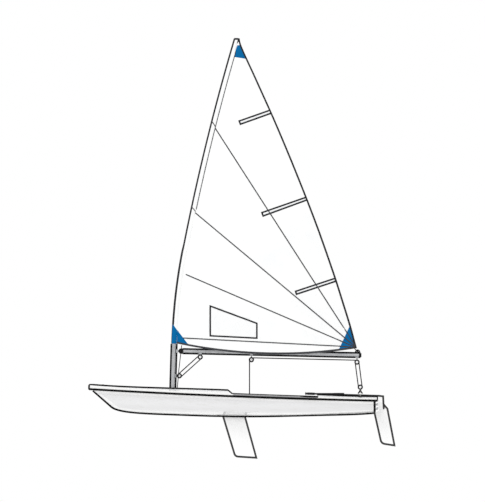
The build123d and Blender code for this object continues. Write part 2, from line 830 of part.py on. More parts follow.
with BuildPart(mode=Mode.PRIVATE) as sleeve:
    with BuildSketch(Plane(origin=straight @ 1, x_dir=mast_plane.x_dir, z_dir=mast_axis)):
        Circle(lower_mast_radius + sleeve_gap + sleeve_wall)
    with BuildLine(Plane.XZ):
        bend_path = JernArc(straight @ 1, straight % 1, lower_bend_radius, -lower_bend_angle)
    sweep(path=bend_path)
    with BuildSketch(joint_plane):
        Circle(lower_mast_radius + sleeve_gap + sleeve_wall)
    extrude(amount=collar_length + sleeve_wall)
    with BuildSketch(joint_plane):
        Circle(upper_mast_radius + sleeve_gap + sleeve_wall)
    sweep(path=upper_path.line)
    with BuildSketch(Plane(origin=mast_top, x_dir=(top_axis.Z, 0, -top_axis.X), z_dir=top_axis)):
        Circle(upper_mast_radius + sleeve_gap + sleeve_wall)
    extrude(amount=sleeve_wall + sleeve_gap)

with BuildPart() as sail_piece:
    add(sail.part)
    add(sail_outline.part, mode=Mode.INTERSECT)
    add(sleeve.part)
    add(mast_clearance.part, mode=Mode.SUBTRACT)
sail_piece.part.label = "sail"
export_step(sail_piece.part, "parts/sail.step")

# Daggerboard: a foil that tapers below the hull, with a stop each side of its head
foil_front_share = 0.25
foil_back_share = 0.55
foil_tail_share = 0.12  # trailing edge's thickness, of the board's


def foil_section(front_x, chord, thickness, height):
    """A rounded nose, flat sides and a tapered tail, seen from above."""
    with BuildSketch(Plane.XY.offset(height)) as section:
        with BuildLine():
            nose = EllipticalCenterArc(
                (front_x + foil_front_share * chord, 0), foil_front_share * chord, thickness / 2, 90, arc_size=180
            )
            tail_x = front_x + foil_back_share * chord
            Polyline(
                nose @ 0,
                (tail_x, thickness / 2),
                (front_x + chord, foil_tail_share * thickness / 2),
                (front_x + chord, -foil_tail_share * thickness / 2),
                (tail_x, -thickness / 2),
                nose @ 1,
            )
        make_face()
    return section.sketch


def tip_plate(corners, tip_round):
    """A plate over the whole beam with this side view, the second lowest of its corners rounded."""
    with BuildPart() as plate:
        with BuildSketch(Plane.XZ.offset(-beam)) as side_view:
            Polygon(corners, align=None)
            fillet(side_view.vertices().sort_by(Axis.Y)[1], tip_round)
        extrude(amount=2 * beam)
    return plate.part


stop_back_x = board_point(joint_height(board_front_x + board_chord) + side_deck_rise, 1)
stop_foot = deck_top(stop_back_x - stop_length, board_thickness) + fit_gap
board_top_height = stop_foot + stop_height
tip_rake = (board_tip_front_x - board_front_x) / (board_exit_height - board_tip_height)
tip_corner_x = board_tip_front_x - tip_rake * board_tip_rise
board_plate = tip_plate(
    [
        (board_point(board_top_height, 0) - nose_margin, board_top_height),
        (board_point(board_exit_height, 0) - nose_margin, board_exit_height),
        (tip_corner_x - nose_margin, board_tip_height + board_tip_rise),
        (board_tip_front_x + board_tip_chord + overrun, board_tip_height),
        (board_tip_front_x + board_tip_chord + overrun, board_top_height),
    ],
    board_tip_round,
)
with BuildPart() as daggerboard:
    loft(
        [
            foil_section(board_point(board_top_height, 0), board_chord, board_thickness, board_top_height),
            foil_section(board_point(board_exit_height, 0), board_chord, board_thickness, board_exit_height),
            foil_section(board_tip_front_x, board_tip_chord, board_thickness, board_tip_height),
        ],
        ruled=True,
    )
    add(board_plate, mode=Mode.INTERSECT)
    with BuildSketch(Plane.XY.offset(stop_foot)):
        with Locations((stop_back_x - stop_length / 2, 0)):
            RectangleRounded(stop_length, board_thickness + 2 * stop_width, stop_width / 2)
    extrude(amount=stop_height)
daggerboard.part.label = "daggerboard"
export_step(daggerboard.part, "parts/daggerboard.step")

# Rudder blade: a foil under a round head that turns on its bolt.
# Columns, from the pivot: height, front edge and chord
blade_section_shares = [
    (-0.1966, -0.2132, 0.3899),
    (-1.0171, -0.0286, 0.3635),
]
# Columns: x and height from the pivot
blade_head_shares = [
    (-0.2132, -0.1966),
    (-0.2205, -0.1641),
    (-0.1761, -0.1607),
    (-0.0786, -0.0906),
    (-0.0632, 0.0000),
    (0.0000, 0.0598),
    (0.0410, 0.0803),
    (0.1470, -0.0419),
    (0.1768, -0.1966),
]
blade_tip_share = (-0.0453, -0.9419)
blade_heel_share = (0.4000, -1.0103)


def blade_point(x_share, height_share):
    return (blade_pivot_x + x_share * blade_reach, blade_pivot_height + height_share * blade_reach)


blade_head = [blade_point(*shares) for shares in blade_head_shares]
tip_x, tip_height = blade_point(*blade_tip_share)
heel_x, heel_height = blade_point(*blade_heel_share)
front_x, shoulder_height = blade_head[0]
blade_plate = tip_plate(
    [
        (front_x - nose_margin, blade_pivot_height),
        (front_x - nose_margin, shoulder_height),
        (tip_x - nose_margin, tip_height),
        (heel_x, heel_height),
        (heel_x, blade_pivot_height),
    ],
    blade_tip_round,
)
with BuildPart() as rudder_blade:
    blade_foils = []
    for height_share, front_share, chord_share in blade_section_shares:
        x, z = blade_point(front_share, height_share)
        blade_foils.append(foil_section(x, chord_share * blade_reach, blade_thickness, z))
    loft(blade_foils, ruled=True)
    add(blade_plate, mode=Mode.INTERSECT)
    with BuildSketch(Plane.XZ.offset(-blade_thickness / 2)):
        Polygon(blade_head, align=None)
        with Locations((blade_pivot_x, blade_pivot_height)):
            Circle(blade_round_radius)
            Circle(pivot_pin_radius + running_clearance, mode=Mode.SUBTRACT)
    extrude(amount=blade_thickness)
rudder_blade.part.label = "rudder_blade"
export_step(rudder_blade.part, "parts/rudder_blade.step")

# Rudder head: two cheeks, the web between them and the blade's bolt.
# The cheeks' corners behind the pintles, as the blade's
cheek_shares = [
    (0.0410, 0.2803),
    (0.0496, 0.0906),
    (0.0581, -0.0393),
    (0.0308, -0.0701),
]
head_web = 6.0
web_top_height = tiller_back_height - tiller_radius - cheek_thickness
cheek_front = [(head_front_x, head_foot_height), (head_front_x, head_top_height)]
with BuildPart() as rudder_head:
    for side in (-1, 1):
        with BuildSketch(Plane.XZ.offset(side * (cheek_gap + cheek_thickness) / 2 - cheek_thickness / 2)):
            Polygon(*cheek_front, *[blade_point(*shares) for shares in cheek_shares], align=None)
        extrude(amount=cheek_thickness)
    with BuildSketch(Plane.XZ.offset(-cheek_gap / 2)):
        with Locations((head_front_x, head_foot_height)):
            Rectangle(head_web, web_top_height - head_foot_height, align=(Align.MIN, Align.MIN))
    extrude(amount=cheek_gap)
    with BuildSketch(Plane.XZ.offset(-cheek_gap / 2 - 2 * cheek_thickness)):
        with Locations((blade_pivot_x, blade_pivot_height)):
            Circle(pivot_pin_radius)
    extrude(amount=cheek_gap + 4 * cheek_thickness)
rudder_head.part.label = "rudder_head"
export_step(rudder_head.part, "parts/rudder_head.step")

# Gudgeons on the transom and the pintles that hang in them
for name, height in (("lower", lower_gudgeon_height), ("upper", upper_gudgeon_height)):
    with BuildPart() as gudgeon:
        with BuildSketch(Plane.XY.offset(height)):
            with Locations((transom_x + fit_gap, 0)):
                Rectangle(gudgeon_plate, gudgeon_width, align=(Align.MIN, Align.CENTER))
                Rectangle(pintle_x - transom_x - fit_gap, gudgeon_eye_radius, align=(Align.MIN, Align.CENTER))
            with Locations((pintle_x, 0)):
                Circle(gudgeon_eye_radius)
                Circle(pintle_radius + pintle_clearance, mode=Mode.SUBTRACT)
        extrude(amount=gudgeon_eye_height)
        with BuildSketch(Plane.XY.offset(height)):
            with Locations((pintle_x, 0)):
                Circle(pintle_radius + pintle_clearance)
        extrude(amount=gudgeon_eye_height, mode=Mode.SUBTRACT)
    gudgeon.part.label = f"gudgeon_{name}"
    export_step(gudgeon.part, f"parts/gudgeon_{name}.step")
    with BuildPart() as pintle:
        with BuildSketch(Plane.XY.offset(height + gudgeon_eye_height + fit_gap)):
            with Locations((pintle_x, 0)):
                Circle(gudgeon_eye_radius)
                Rectangle(head_front_x - pintle_x, cheek_gap, align=(Align.MIN, Align.CENTER))
        extrude(amount=pintle_lip)
        with BuildSketch(Plane.XY.offset(height - pintle_radius)):
            with Locations((pintle_x, 0)):
                Circle(pintle_radius)
        extrude(amount=gudgeon_eye_height + pintle_radius + pintle_lip)
    pintle.part.label = f"pintle_{name}"
    export_step(pintle.part, f"parts/pintle_{name}.step")

# Tiller, with the universal joint on its end and the extension stowed beside it
tiller_back = Vector(tiller_back_x, 0, tiller_back_height)
tiller_front = Vector(tiller_front_x, 0, tiller_front_height)
tiller_part = tube_between(tiller_back, tiller_front, tiller_radius)
tiller_part.label = "tiller"
export_step(tiller_part, "parts/tiller.step")

with BuildPart() as tiller_universal:
    with BuildSketch(Plane(origin=tiller_front, z_dir=tiller_front - tiller_back)):
        Circle(universal_radius)
    extrude(amount=universal_length)
    with BuildSketch(Plane.XY.offset(extension_height - universal_eye_height / 2)):
        with Locations((universal_pin_x, 0)):
            Circle(universal_eye_radius)
            Rectangle(2 * universal_eye_radius, universal_eye_radius, align=(Align.MIN, Align.CENTER))
    extrude(amount=universal_eye_height)
    with BuildSketch(Plane.XY.offset(extension_height)):
        with Locations((universal_pin_x, 0)):
            Circle(universal_pin_radius)
    extrude(amount=universal_pin_reach, both=True)
tiller_universal.part.label = "tiller_universal"
export_step(tiller_universal.part, "parts/tiller_universal.step")

with BuildPart() as tiller_extension:
    for level in (universal_eye_height / 2 + fit_gap, -universal_eye_height / 2 - fit_gap - fork_thickness):
        with BuildSketch(Plane.XY.offset(extension_height + level)):
            with Locations((universal_pin_x, 0)):
                Circle(universal_eye_radius)
                Rectangle(fork_width, extension_offset, align=(Align.CENTER, Align.MAX))
                Circle(universal_pin_radius + running_clearance, mode=Mode.SUBTRACT)
        extrude(amount=fork_thickness)
    with BuildSketch(Plane.YZ.offset(universal_pin_x - fork_width / 2)):
        with Locations((-extension_offset, extension_height)):
            Circle(fork_socket_radius)
    extrude(amount=fork_socket_length)
    with BuildSketch(Plane.YZ.offset(universal_pin_x)):
        with Locations((-extension_offset, extension_height)):
            Circle(extension_radius)
    extrude(amount=extension_length)
    with BuildSketch(Plane.YZ.offset(universal_pin_x + extension_length - grip_length)):
        with Locations((-extension_offset, extension_height)):
            Circle(grip_radius)
    extrude(amount=grip_length)
tiller_extension.part.label = "tiller_extension"
export_step(tiller_extension.part, "parts/tiller_extension.step")

# Traveller rope between its fairleads, through the ring that the mainsheet pulls up
fairlead_plate_length = 46.0
fairlead_plate_width = 18.0
plate_ends = (traveller_x - fairlead_plate_length / 2, traveller_x + fairlead_plate_length / 2)
plate_sides = (fairlead_offset - fairlead_plate_width / 2, fairlead_offset + fairlead_plate_width / 2)
fairlead_foot = fit_gap + max(deck_top(x, y) for x in plate_ends for y in plate_sides)
fairlead_plate_thickness = 6.0
fairlead_ring_radius = 9.0
fairlead_ring_thickness = 10.0
rope_clearance = 1.0
rope_foot = fairlead_foot + fairlead_height
for name, side in (("port", -1), ("starboard", 1)):
    with BuildPart() as fairlead:
        with BuildSketch(Plane.XY.offset(fairlead_foot)):
            with Locations((traveller_x, side * fairlead_offset)):
                SlotOverall(fairlead_plate_length, fairlead_plate_width)
        extrude(amount=fairlead_plate_thickness)
        with BuildSketch(Plane.XZ.offset(-side * fairlead_offset - fairlead_ring_thickness / 2)):
            with Locations((traveller_x, rope_foot)):
                Circle(fairlead_ring_radius)
                Rectangle(2 * fairlead_ring_radius, fairlead_height, align=(Align.CENTER, Align.MAX))
                Circle(traveller_rope_radius + rope_clearance, mode=Mode.SUBTRACT)
        extrude(amount=fairlead_ring_thickness)
    fairlead.part.label = f"fairlead_{name}"
    export_step(fairlead.part, f"parts/fairlead_{name}.step")

rope_tail = 24.0
rope_bend_radius = 30.0
ring_bore = 11.0
ring_radius = 21.0
ring_height = traveller_apex + ring_bore - traveller_rope_radius - fit_gap
with BuildPart() as traveller_rope:
    with BuildLine(Plane.YZ.offset(traveller_x)) as traveller_path:
        inner_foot = fairlead_offset - fairlead_ring_thickness - rope_tail / 2
        FilletPolyline(
            (-fairlead_offset - rope_tail, rope_foot),
            (-inner_foot, rope_foot),
            (0, traveller_apex),
            (inner_foot, rope_foot),
            (fairlead_offset + rope_tail, rope_foot),
            radius=rope_bend_radius,
        )
    with BuildSketch(Plane(origin=traveller_path.line @ 0, z_dir=traveller_path.line % 0)):
        Circle(traveller_rope_radius)
    sweep(path=traveller_path.line)
traveller_rope.part.label = "traveller_rope"
export_step(traveller_rope.part, "parts/traveller_rope.step")

with BuildPart() as traveller_ring:
    with Locations(Location((traveller_x, 0, ring_height), (90, 0, 0))):
        Torus((ring_radius + ring_bore) / 2, (ring_radius - ring_bore) / 2)
traveller_ring.part.label = "traveller_ring"
export_step(traveller_ring.part, "parts/traveller_ring.step")

sheet_block = block(
    traveller_x, sheet_block_height, block_radius, traveller_x, ring_height, ring_radius + fit_gap
)
sheet_block.label = "mainsheet_lower_block"
export_step(sheet_block, "parts/mainsheet_lower_block.step")

# Ratchet block on the cockpit floor
ratchet = block(ratchet_x, ratchet_height, block_radius, ratchet_x, cockpit_floor_height, fit_gap)
ratchet.label = "ratchet_block"
export_step(ratchet, "parts/ratchet_block.step")

# Hiking strap down the middle of the cockpit, on an eye at each end
strap_width = 50.0
strap_web = 5.0
strap_height = 92.0
strap_foot_length = 3 * strap_web
strap_rise_run = 2 * strap_height


def tub_wall_x(height, side):
    """The cockpit's front or back wall at a height."""
    inset = (tub_join_height - height) * tub_draw
    return cockpit_front_x + inset if side < 0 else cockpit_back_x - inset


strap_front_x = ratchet_x + 2 * block_radius
strap_back_x = tub_wall_x(strap_height - strap_web, 1) - fit_gap
with BuildPart() as hiking_strap:
    with BuildSketch(Plane.XZ.offset(-strap_width / 2)):
        with BuildLine():
            Polyline(
                (strap_front_x, cockpit_floor_height + fit_gap),
                (strap_front_x + strap_rise_run, strap_height),
                (strap_back_x, strap_height),
                (strap_back_x, strap_height - strap_web),
                (strap_front_x + strap_rise_run, strap_height - strap_web),
                (strap_front_x + strap_foot_length, cockpit_floor_height + fit_gap),
                close=True,
            )
        make_face()
    extrude(amount=strap_width)
hiking_strap.part.label = "hiking_strap"
export_step(hiking_strap.part, "parts/hiking_strap.step")

# Self-bailer in the aft end of the cockpit floor
bailer_x = 930.0
bailer_length = 110.0
bailer_width = 70.0
bailer_height = 9.0
with BuildPart() as bailer:
    with BuildSketch(Plane.XY.offset(cockpit_floor_height + fit_gap)):
        with Locations((bailer_x, 0)):
            RectangleRounded(bailer_length, bailer_width, bailer_height)
    extrude(amount=bailer_height)
    chamfer(bailer.faces().sort_by(Axis.Z)[-1].edges(), bailer_height / 3)
bailer.part.label = "bailer"
export_step(bailer.part, "parts/bailer.step")

# Grab rails on the cockpit's side walls
rail_x = 470.0
rail_length = 620.0
rail_radius = 8.0
rail_stand = 26.0
rail_height = 150.0
rail_foot_width = 22.0
rail_inset = (tub_join_height - rail_height) * tub_draw
rail_wall_length = cockpit_length - 2 * rail_inset
cockpit_narrowing = (cockpit_front_width - cockpit_back_width) / 2
rail_ends = []
for x in (rail_x - rail_length / 2, rail_x + rail_length / 2):
    run_share = (x - cockpit_front_x - rail_inset) / rail_wall_length
    wall_y = cockpit_front_width / 2 - rail_inset - run_share * cockpit_narrowing
    rail_ends.append((x, wall_y - rail_stand))
for name, side in (("port", -1), ("starboard", 1)):
    start, end = [Vector(x, side * y, rail_height) for x, y in rail_ends]
    with BuildPart() as grab_rail:
        with BuildSketch(Plane(origin=start, z_dir=end - start)):
            Circle(rail_radius)
        extrude(amount=(end - start).length)
        for x, y in rail_ends:
            with BuildSketch(Plane.XZ.offset(-side * y)):
                with Locations((x, rail_height)):
                    Rectangle(rail_foot_width, 2 * rail_radius)
            extrude(amount=-side * (rail_stand + rail_radius))
        add(tub_reach.part, mode=Mode.INTERSECT)
    grab_rail.part.label = f"grab_rail_{name}"
    export_step(grab_rail.part, f"parts/grab_rail_{name}.step")
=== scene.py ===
import math

import bmesh
import bpy
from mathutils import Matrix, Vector
from mathutils.bvhtree import BVHTree


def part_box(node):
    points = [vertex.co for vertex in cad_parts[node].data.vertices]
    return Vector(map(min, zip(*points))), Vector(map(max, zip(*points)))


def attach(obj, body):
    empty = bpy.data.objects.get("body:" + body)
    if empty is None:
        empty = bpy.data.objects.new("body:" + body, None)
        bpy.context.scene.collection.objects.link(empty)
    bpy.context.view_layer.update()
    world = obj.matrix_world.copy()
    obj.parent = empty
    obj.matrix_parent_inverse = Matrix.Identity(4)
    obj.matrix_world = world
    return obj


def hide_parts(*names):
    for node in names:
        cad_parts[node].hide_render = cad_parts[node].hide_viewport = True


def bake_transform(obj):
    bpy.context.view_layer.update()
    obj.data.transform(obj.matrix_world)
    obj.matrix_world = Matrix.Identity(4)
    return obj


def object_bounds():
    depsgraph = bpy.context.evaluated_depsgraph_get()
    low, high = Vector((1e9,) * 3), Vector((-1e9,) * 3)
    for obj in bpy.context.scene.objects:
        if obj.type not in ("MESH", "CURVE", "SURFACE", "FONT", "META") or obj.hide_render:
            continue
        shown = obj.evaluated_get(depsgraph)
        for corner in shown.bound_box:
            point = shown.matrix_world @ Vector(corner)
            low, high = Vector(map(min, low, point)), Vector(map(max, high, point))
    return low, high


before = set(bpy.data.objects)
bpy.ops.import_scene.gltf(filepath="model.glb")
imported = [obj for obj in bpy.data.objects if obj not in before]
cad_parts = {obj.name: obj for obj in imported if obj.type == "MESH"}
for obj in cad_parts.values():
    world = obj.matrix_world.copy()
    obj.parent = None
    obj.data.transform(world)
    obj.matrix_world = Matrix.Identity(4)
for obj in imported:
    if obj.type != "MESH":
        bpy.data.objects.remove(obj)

# Single-handed sailing dinghy afloat. Metres: bow towards -X, port towards -Y, the water at z 0.
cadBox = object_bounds()
print("frame loaded:", len(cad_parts), "nodes")

view = {
    "imageWidth": 485,
    "imageHeight": 502,
    "metresPerPixel": 0.01463,
    "waterPixel": (244.9, 409.7),  # where the frame's origin falls in the picture
    "distance": 20.0,
    "clipEnd": 200.0,
}


def pictured(column, row):
    # x and z of a place in the picture
    middleColumn, middleRow = view["waterPixel"]
    return (column - middleColumn) * view["metresPerPixel"], (middleRow - row) * view["metresPerPixel"]


# Shader helpers
class Field:
    # a socket that takes part in plain arithmetic
    def __init__(self, finish, socket):
        self.finish = finish
        self.socket = socket

    def math(self, operation, *others):
        return self.finish.add("ShaderNodeMath", {"operation": operation}, [self, *others])

    def __add__(self, other):
        return self.math("ADD", other)

    def __sub__(self, other):
        return self.math("SUBTRACT", other)

    def __rsub__(self, other):
        return self.finish.add("ShaderNodeMath", {"operation": "SUBTRACT"}, [other, self])

    def __mul__(self, other):
        return self.math("MULTIPLY", other)

    def __truediv__(self, other):
        return self.math("DIVIDE", other)

    def __abs__(self):
        return self.math("ABSOLUTE")

    def larger(self, other):
        return self.math("MAXIMUM", other)

    def sine(self):
        return self.math("SINE")

    __radd__ = __add__
    __rmul__ = __mul__


class Graph:
    # a node tree and the one way in which nodes are added to it
    def __init__(self, tree):
        self.tree = tree
        self.tree.nodes.clear()

    def add(self, kind, settings, sockets, output=0):
        node = self.tree.nodes.new(kind)
        for key, value in settings.items():
            if key == "stops":
                ramp = node.color_ramp.elements
                while len(ramp) < len(value):
                    ramp.new(1.0)
                for stop, (place, shade) in zip(ramp, value):
                    stop.position = place
                    stop.color = shade
            else:
                setattr(node, key, value)
        for key, value in sockets.items() if isinstance(sockets, dict) else enumerate(sockets):
            if isinstance(value, Field):
                self.tree.links.new(value.socket, node.inputs[key])
            else:
                node.inputs[key].default_value = value
        return None if output is None else Field(self, node.outputs[output])


class Finish(Graph):
    # one procedural material, built round a Principled shader
    def __init__(self, name, sockets):
        self.material = bpy.data.materials.new(name)
        self.material.use_nodes = True
        super().__init__(self.material.node_tree)
        bsdf = self.add("ShaderNodeBsdfPrincipled", {}, sockets)
        self.shader = bsdf.socket.node
        self.add("ShaderNodeOutputMaterial", {}, {"Surface": bsdf}, None)

    def feed(self, name, value):
        self.tree.links.new(value.socket, self.shader.inputs[name])

    def place(self, output="Object"):
        return self.add("ShaderNodeTexCoord", {}, {}, output)

    def axes(self, vector):
        parts = self.add("ShaderNodeSeparateXYZ", {}, [vector])
        return [Field(self, socket) for socket in parts.socket.node.outputs]

    def stretched(self, vector, scale):
        return self.add("ShaderNodeVectorMath", {"operation": "MULTIPLY"}, [vector, scale])

    def noise(self, vector, scale, detail=3.0, rough=0.55):
        sockets = {"Vector": vector, "Scale": scale, "Detail": detail, "Roughness": rough}
        return self.add("ShaderNodeTexNoise", {}, sockets)

    def step(self, value, low, high, start=0.0, end=1.0):
        sockets = {"Value": value, "From Min": low, "From Max": high, "To Min": start, "To Max": end}
        return self.add("ShaderNodeMapRange", {"interpolation_type": "SMOOTHSTEP"}, sockets)

    def blended(self, mask, first, second):
        return self.add("ShaderNodeMix", {"data_type": "RGBA"}, {0: mask, 6: first, 7: second}, 2)

    def paint(self, mask, first, second):
        self.feed("Base Color", self.blended(mask, first, second))

    def polish(self, value, start, end, low=0.3, high=0.7):
        self.feed("Roughness", self.step(value, low, high, start, end))

    def bump(self, height, strength, distance):
        sockets = {"Height": height, "Strength": strength, "Distance": distance}
        self.feed("Normal", self.add("ShaderNodeBump", {}, sockets))

    def nearPath(self, x, z, corners, width, fade=0.12):
        # one within a width of a line of straight pieces in the side view, nought beyond it
        mask = None
        for (x0, z0), (x1, z1) in zip(corners, corners[1:]):
            runX, runZ = x1 - x0, z1 - z0
            share = ((x - x0) * runX + (z - z0) * runZ) / (runX * runX + runZ * runZ)
            share = share.larger(0).math("MINIMUM", 1)
            awayX, awayZ = x - x0 - share * runX, z - z0 - share * runZ
            away = (awayX * awayX + awayZ * awayZ).math("SQRT")
            near = self.step(away, width, width * (1 + fade), 1.0, 0.0)
            mask = near if mask is None else mask.larger(near)
        return mask


def colour(*shade):
    # from the eight-bit values that a screen shows
    return (*(((part / 255 + 0.055) / 1.055) ** 2.4 if part > 10 else part / 3294 for part in shade), 1.0)


# Mesh helpers
def spread(start, end, count):
    # evenly spaced numbers or vectors, both ends among them
    return [start + (end - start) * step / count for step in range(count + 1)]


def straightRun(start, end, count):
    return spread(Vector(start), Vector(end), count)


def spoke(angle, first=0, second=2):
    # a unit vector at an angle in degrees from one axis towards another: in the side view from +X towards +Z
    out = Vector((0, 0, 0))
    out[first], out[second] = math.cos(math.radians(angle)), math.sin(math.radians(angle))
    return out


def arcRun(centre, radius, fromAngle, toAngle, count):
    middle = Vector((centre[0], 0, centre[1]))
    return [middle + radius * spoke(angle) for angle in spread(fromAngle, toAngle, count)]


def onCurve(places, x):
    # height at x, a number or a shader's value, of the parabola through three places
    (x0, z0), (x1, z1), (x2, z2) = places
    bend = ((z2 - z1) / (x2 - x1) - (z1 - z0) / (x1 - x0)) / (x2 - x0)
    slope = (z1 - z0) / (x1 - x0) - bend * (x1 + x0)
    return (x * bend + slope) * x + (z0 - slope * x0 - bend * x0 * x0)


def smoothed(table, place):
    # a curve through the rows of a two-column table, level with its neighbours' slopes
    rows = sorted(table)
    place = min(max(place, rows[0][0]), rows[-1][0])
    index = max(i for i in range(len(rows) - 1) if rows[i][0] <= place)
    (x0, y0), (x1, y1) = rows[index], rows[index + 1]
    before = rows[index - 1] if index else rows[index]
    after = rows[index + 2] if index + 2 < len(rows) else rows[index + 1]
    slope0 = (y1 - before[1]) / (x1 - before[0])
    slope1 = (after[1] - y0) / (after[0] - x0)
    width = x1 - x0
    part = (place - x0) / width
    return (
        y0 * (2 * part**3 - 3 * part**2 + 1)
        + slope0 * width * (part**3 - 2 * part**2 + part)
        + y1 * (3 * part**2 - 2 * part**3)
        + slope1 * width * (part**3 - part**2)
    )


def pieceFrom(name, vertices, faces, finish, body, slot, uvs=None, smooth=True):
    mesh = bpy.data.meshes.new(name)
    mesh.from_pydata([tuple(vertex) for vertex in vertices], [], faces)
    mesh.validate()
    if uvs:
        layer = mesh.uv_layers.new(name="UVMap")
        for loop in mesh.loops:
            layer.data[loop.index].uv = uvs[loop.vertex_index]
    outward = bmesh.new()
    outward.from_mesh(mesh)
    bmesh.ops.recalc_face_normals(outward, faces=outward.faces)
    outward.to_mesh(mesh)
    outward.free()
    for polygon in mesh.polygons:
        polygon.use_smooth = smooth
    mesh.materials.append(finishes[finish].material)
    piece = bpy.data.objects.new(name, mesh)
    bpy.context.collection.objects.link(piece)
    if body:
        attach(piece, body)
    return piece


def skinned(rings):
    # a closed skin over rings of as many points each
    count = len(rings[0])
    vertices = [point for ring in rings for point in ring]
    faces = []
    for row in range(len(rings) - 1):
        for turn in range(count):
            start, after = row * count, (turn + 1) % count
            faces.append((start + turn, start + after, start + count + after, start + count + turn))
    faces.append(tuple(reversed(range(count))))
    faces.append(tuple(range(len(vertices) - count, len(vertices))))
    return vertices, faces


def circle(centre, radius, side, other, sides):
    angles = [2 * math.pi * turn / sides for turn in range(sides)]
    return [centre + radius * (side * math.cos(angle) + other * math.sin(angle)) for angle in angles]


def tube(name, points, radius, finish, body, slot, sides=8):
    # its texture runs round the tube first and then, in metres, along it
    points = [Vector(point) for point in points]
    side = None
    travelled = 0.0
    rings, uvs = [], []
    for index, point in enumerate(points):
        ahead = (points[min(index + 1, len(points) - 1)] - points[max(index - 1, 0)]).normalized()
        if side is None:
            side = ahead.cross(Vector((0.1, 0.9, 0.3)))
        side = (side - ahead * side.dot(ahead)).normalized()
        rings.append(circle(point, radius, side, ahead.cross(side), sides))
        if index:
            travelled += (point - points[index - 1]).length
        uvs += [(turn / sides, travelled) for turn in range(sides)]
    return pieceFrom(name, *skinned(rings), finish, body, slot, uvs)


def joined(parts):
    vertices, faces = [], []
    for partVertices, partFaces in parts:
        start = len(vertices)
        vertices += partVertices
        faces += [tuple(start + corner for corner in face) for face in partFaces]
    return vertices, faces


def turned(centre, axis, profile, sides=24):
    # profile rows: radius, height along the axis
    centre, axis = Vector(centre), Vector(axis).normalized()
    side = axis.orthogonal().normalized()
    other = axis.cross(side)
    return skinned([circle(centre + axis * height, radius, side, other, sides) for radius, height in profile])


def rounded(corners, radius, steps=4):
    # an outline with its second corner turned into an arc
    before, corner, after = (Vector(place) for place in corners[:3])
    back, ahead = (before - corner).normalized(), (after - corner).normalized()
    half = back.angle(ahead) / 2
    centre = corner + (back + ahead).normalized() * radius / math.sin(half)
    first = (corner + back * radius / math.tan(half) - centre).normalized()
    last = (corner + ahead * radius / math.tan(half) - centre).normalized()
    arc = [tuple(centre + first.slerp(last, step / steps) * radius) for step in range(steps + 1)]
    return corners[:1] + arc + corners[2:]


def nodeTree(name):
    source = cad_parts[name]
    places = [source.matrix_world @ vertex.co for vertex in source.data.vertices]
    return BVHTree.FromPolygons(places, [tuple(polygon.vertices) for polygon in source.data.polygons])


def boxCentre(name):
    low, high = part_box(name)
    return (Vector(low) + Vector(high)) / 2


def labelOf(name):
    return "".join(part.capitalize() for part in name.split("_"))


# Hull, deck and foils
hullLook = {
    "panelColour": colour(236, 236, 237),
    "marginColour": colour(252, 252, 252),
    "wornColour": colour(214, 213, 208),
    "marginWidth": 0.046,
    "transomMargin": 1.866,
    # the stem and keel in the side view
    "keelPath": [
        (-2.120, 0.187), (-1.857, -0.012), (-1.535, -0.047), (-0.949, -0.072), (-0.364, -0.086),
        (0.104, -0.092), (0.513, -0.091), (1.055, -0.083), (1.391, -0.069), (1.906, -0.041),
    ],
    "jointPlaces": [(-2.27, 0.297), (0.0, 0.186), (1.93, 0.128)],  # where hull and deck meet
    "wearStretch": (2.0, 6.0, 14.0),
    "gloss": 0.22,
}
deckLook = {
    "colour": colour(249, 249, 248),
    "gripColour": colour(236, 237, 238),
    "wornColour": colour(222, 221, 216),
    "gripGrain": 260.0,
    "gripRough": 0.4,
    # painted shade: a grey laid on the side decks' outer vertical lip, as if that face stood in shadow
    "lipShadeColour": colour(150, 150, 152),
    "shadedLipEnds": (-0.19, 1.07),
    "shadedLipFade": 0.03,
    "shadedLipHalfWidth": 0.5,
    "edgeMargin": 0.055,
    # shares of the length from the bow, and the half width there in metres
    "halfWidths": [
        (0.0, 0.02), (0.09, 0.17), (0.20, 0.351), (0.37, 0.535),
        (0.61, 0.676), (0.83, 0.637), (1.0, 0.52),
    ],
    "bow": -2.27,
    "length": 4.2,
}
foilLook = {
    "colour": colour(255, 255, 255),
    "wornColour": colour(222, 222, 218),
    "lineColour": colour(6, 6, 7),
    "lineWidth": 0.027,
    "scuffStretch": (40.0, 40.0, 4.0),
    # corners of each piece's outline in the side view, and the radius of the second one
    "board": ([(-0.3346, -0.094), (-0.1523, -0.697), (0.1860, -0.7186), (0.0134, -0.094)], 0.075),
    "blade": ([(1.883, -0.051), (1.9854, -0.506), (2.206, -0.540), (2.098, 0.0205), (2.036, 0.092)], 0.085),
    "head": ([(1.948, 0.218), (2.036, 0.209), (2.041, 0.098), (2.046, 0.022)], None),
}


def jointHeight(x):
    return onCurve(hullLook["jointPlaces"], x)


def hullFinish():
    gloss, margin = hullLook["gloss"], hullLook["marginWidth"]
    finish = Finish("hullGelcoat", {"Roughness": gloss, "Coat Weight": 0.4, "Coat Roughness": 0.08})
    place = finish.place()
    x, y, z = finish.axes(place)
    below = finish.step(jointHeight(x) - z, margin * 0.95, margin)
    above = 1 - finish.nearPath(x, z, hullLook["keelPath"], margin * 0.85)
    ahead = finish.step(x, hullLook["transomMargin"] - 0.003, hullLook["transomMargin"], 1.0, 0.0)
    wear = finish.noise(finish.stretched(place, hullLook["wearStretch"]), 3.0, 5.0)
    shade = finish.blended(below * above * ahead, hullLook["marginColour"], hullLook["panelColour"])
    finish.paint(finish.step(wear, 0.45, 0.8, 0.0, 0.35), shade, hullLook["wornColour"])
    finish.polish(wear, gloss - 0.06, gloss + 0.14)
    finish.bump(finish.noise(place, 140.0, 2.0), strength=0.05, distance=0.001)
    return finish


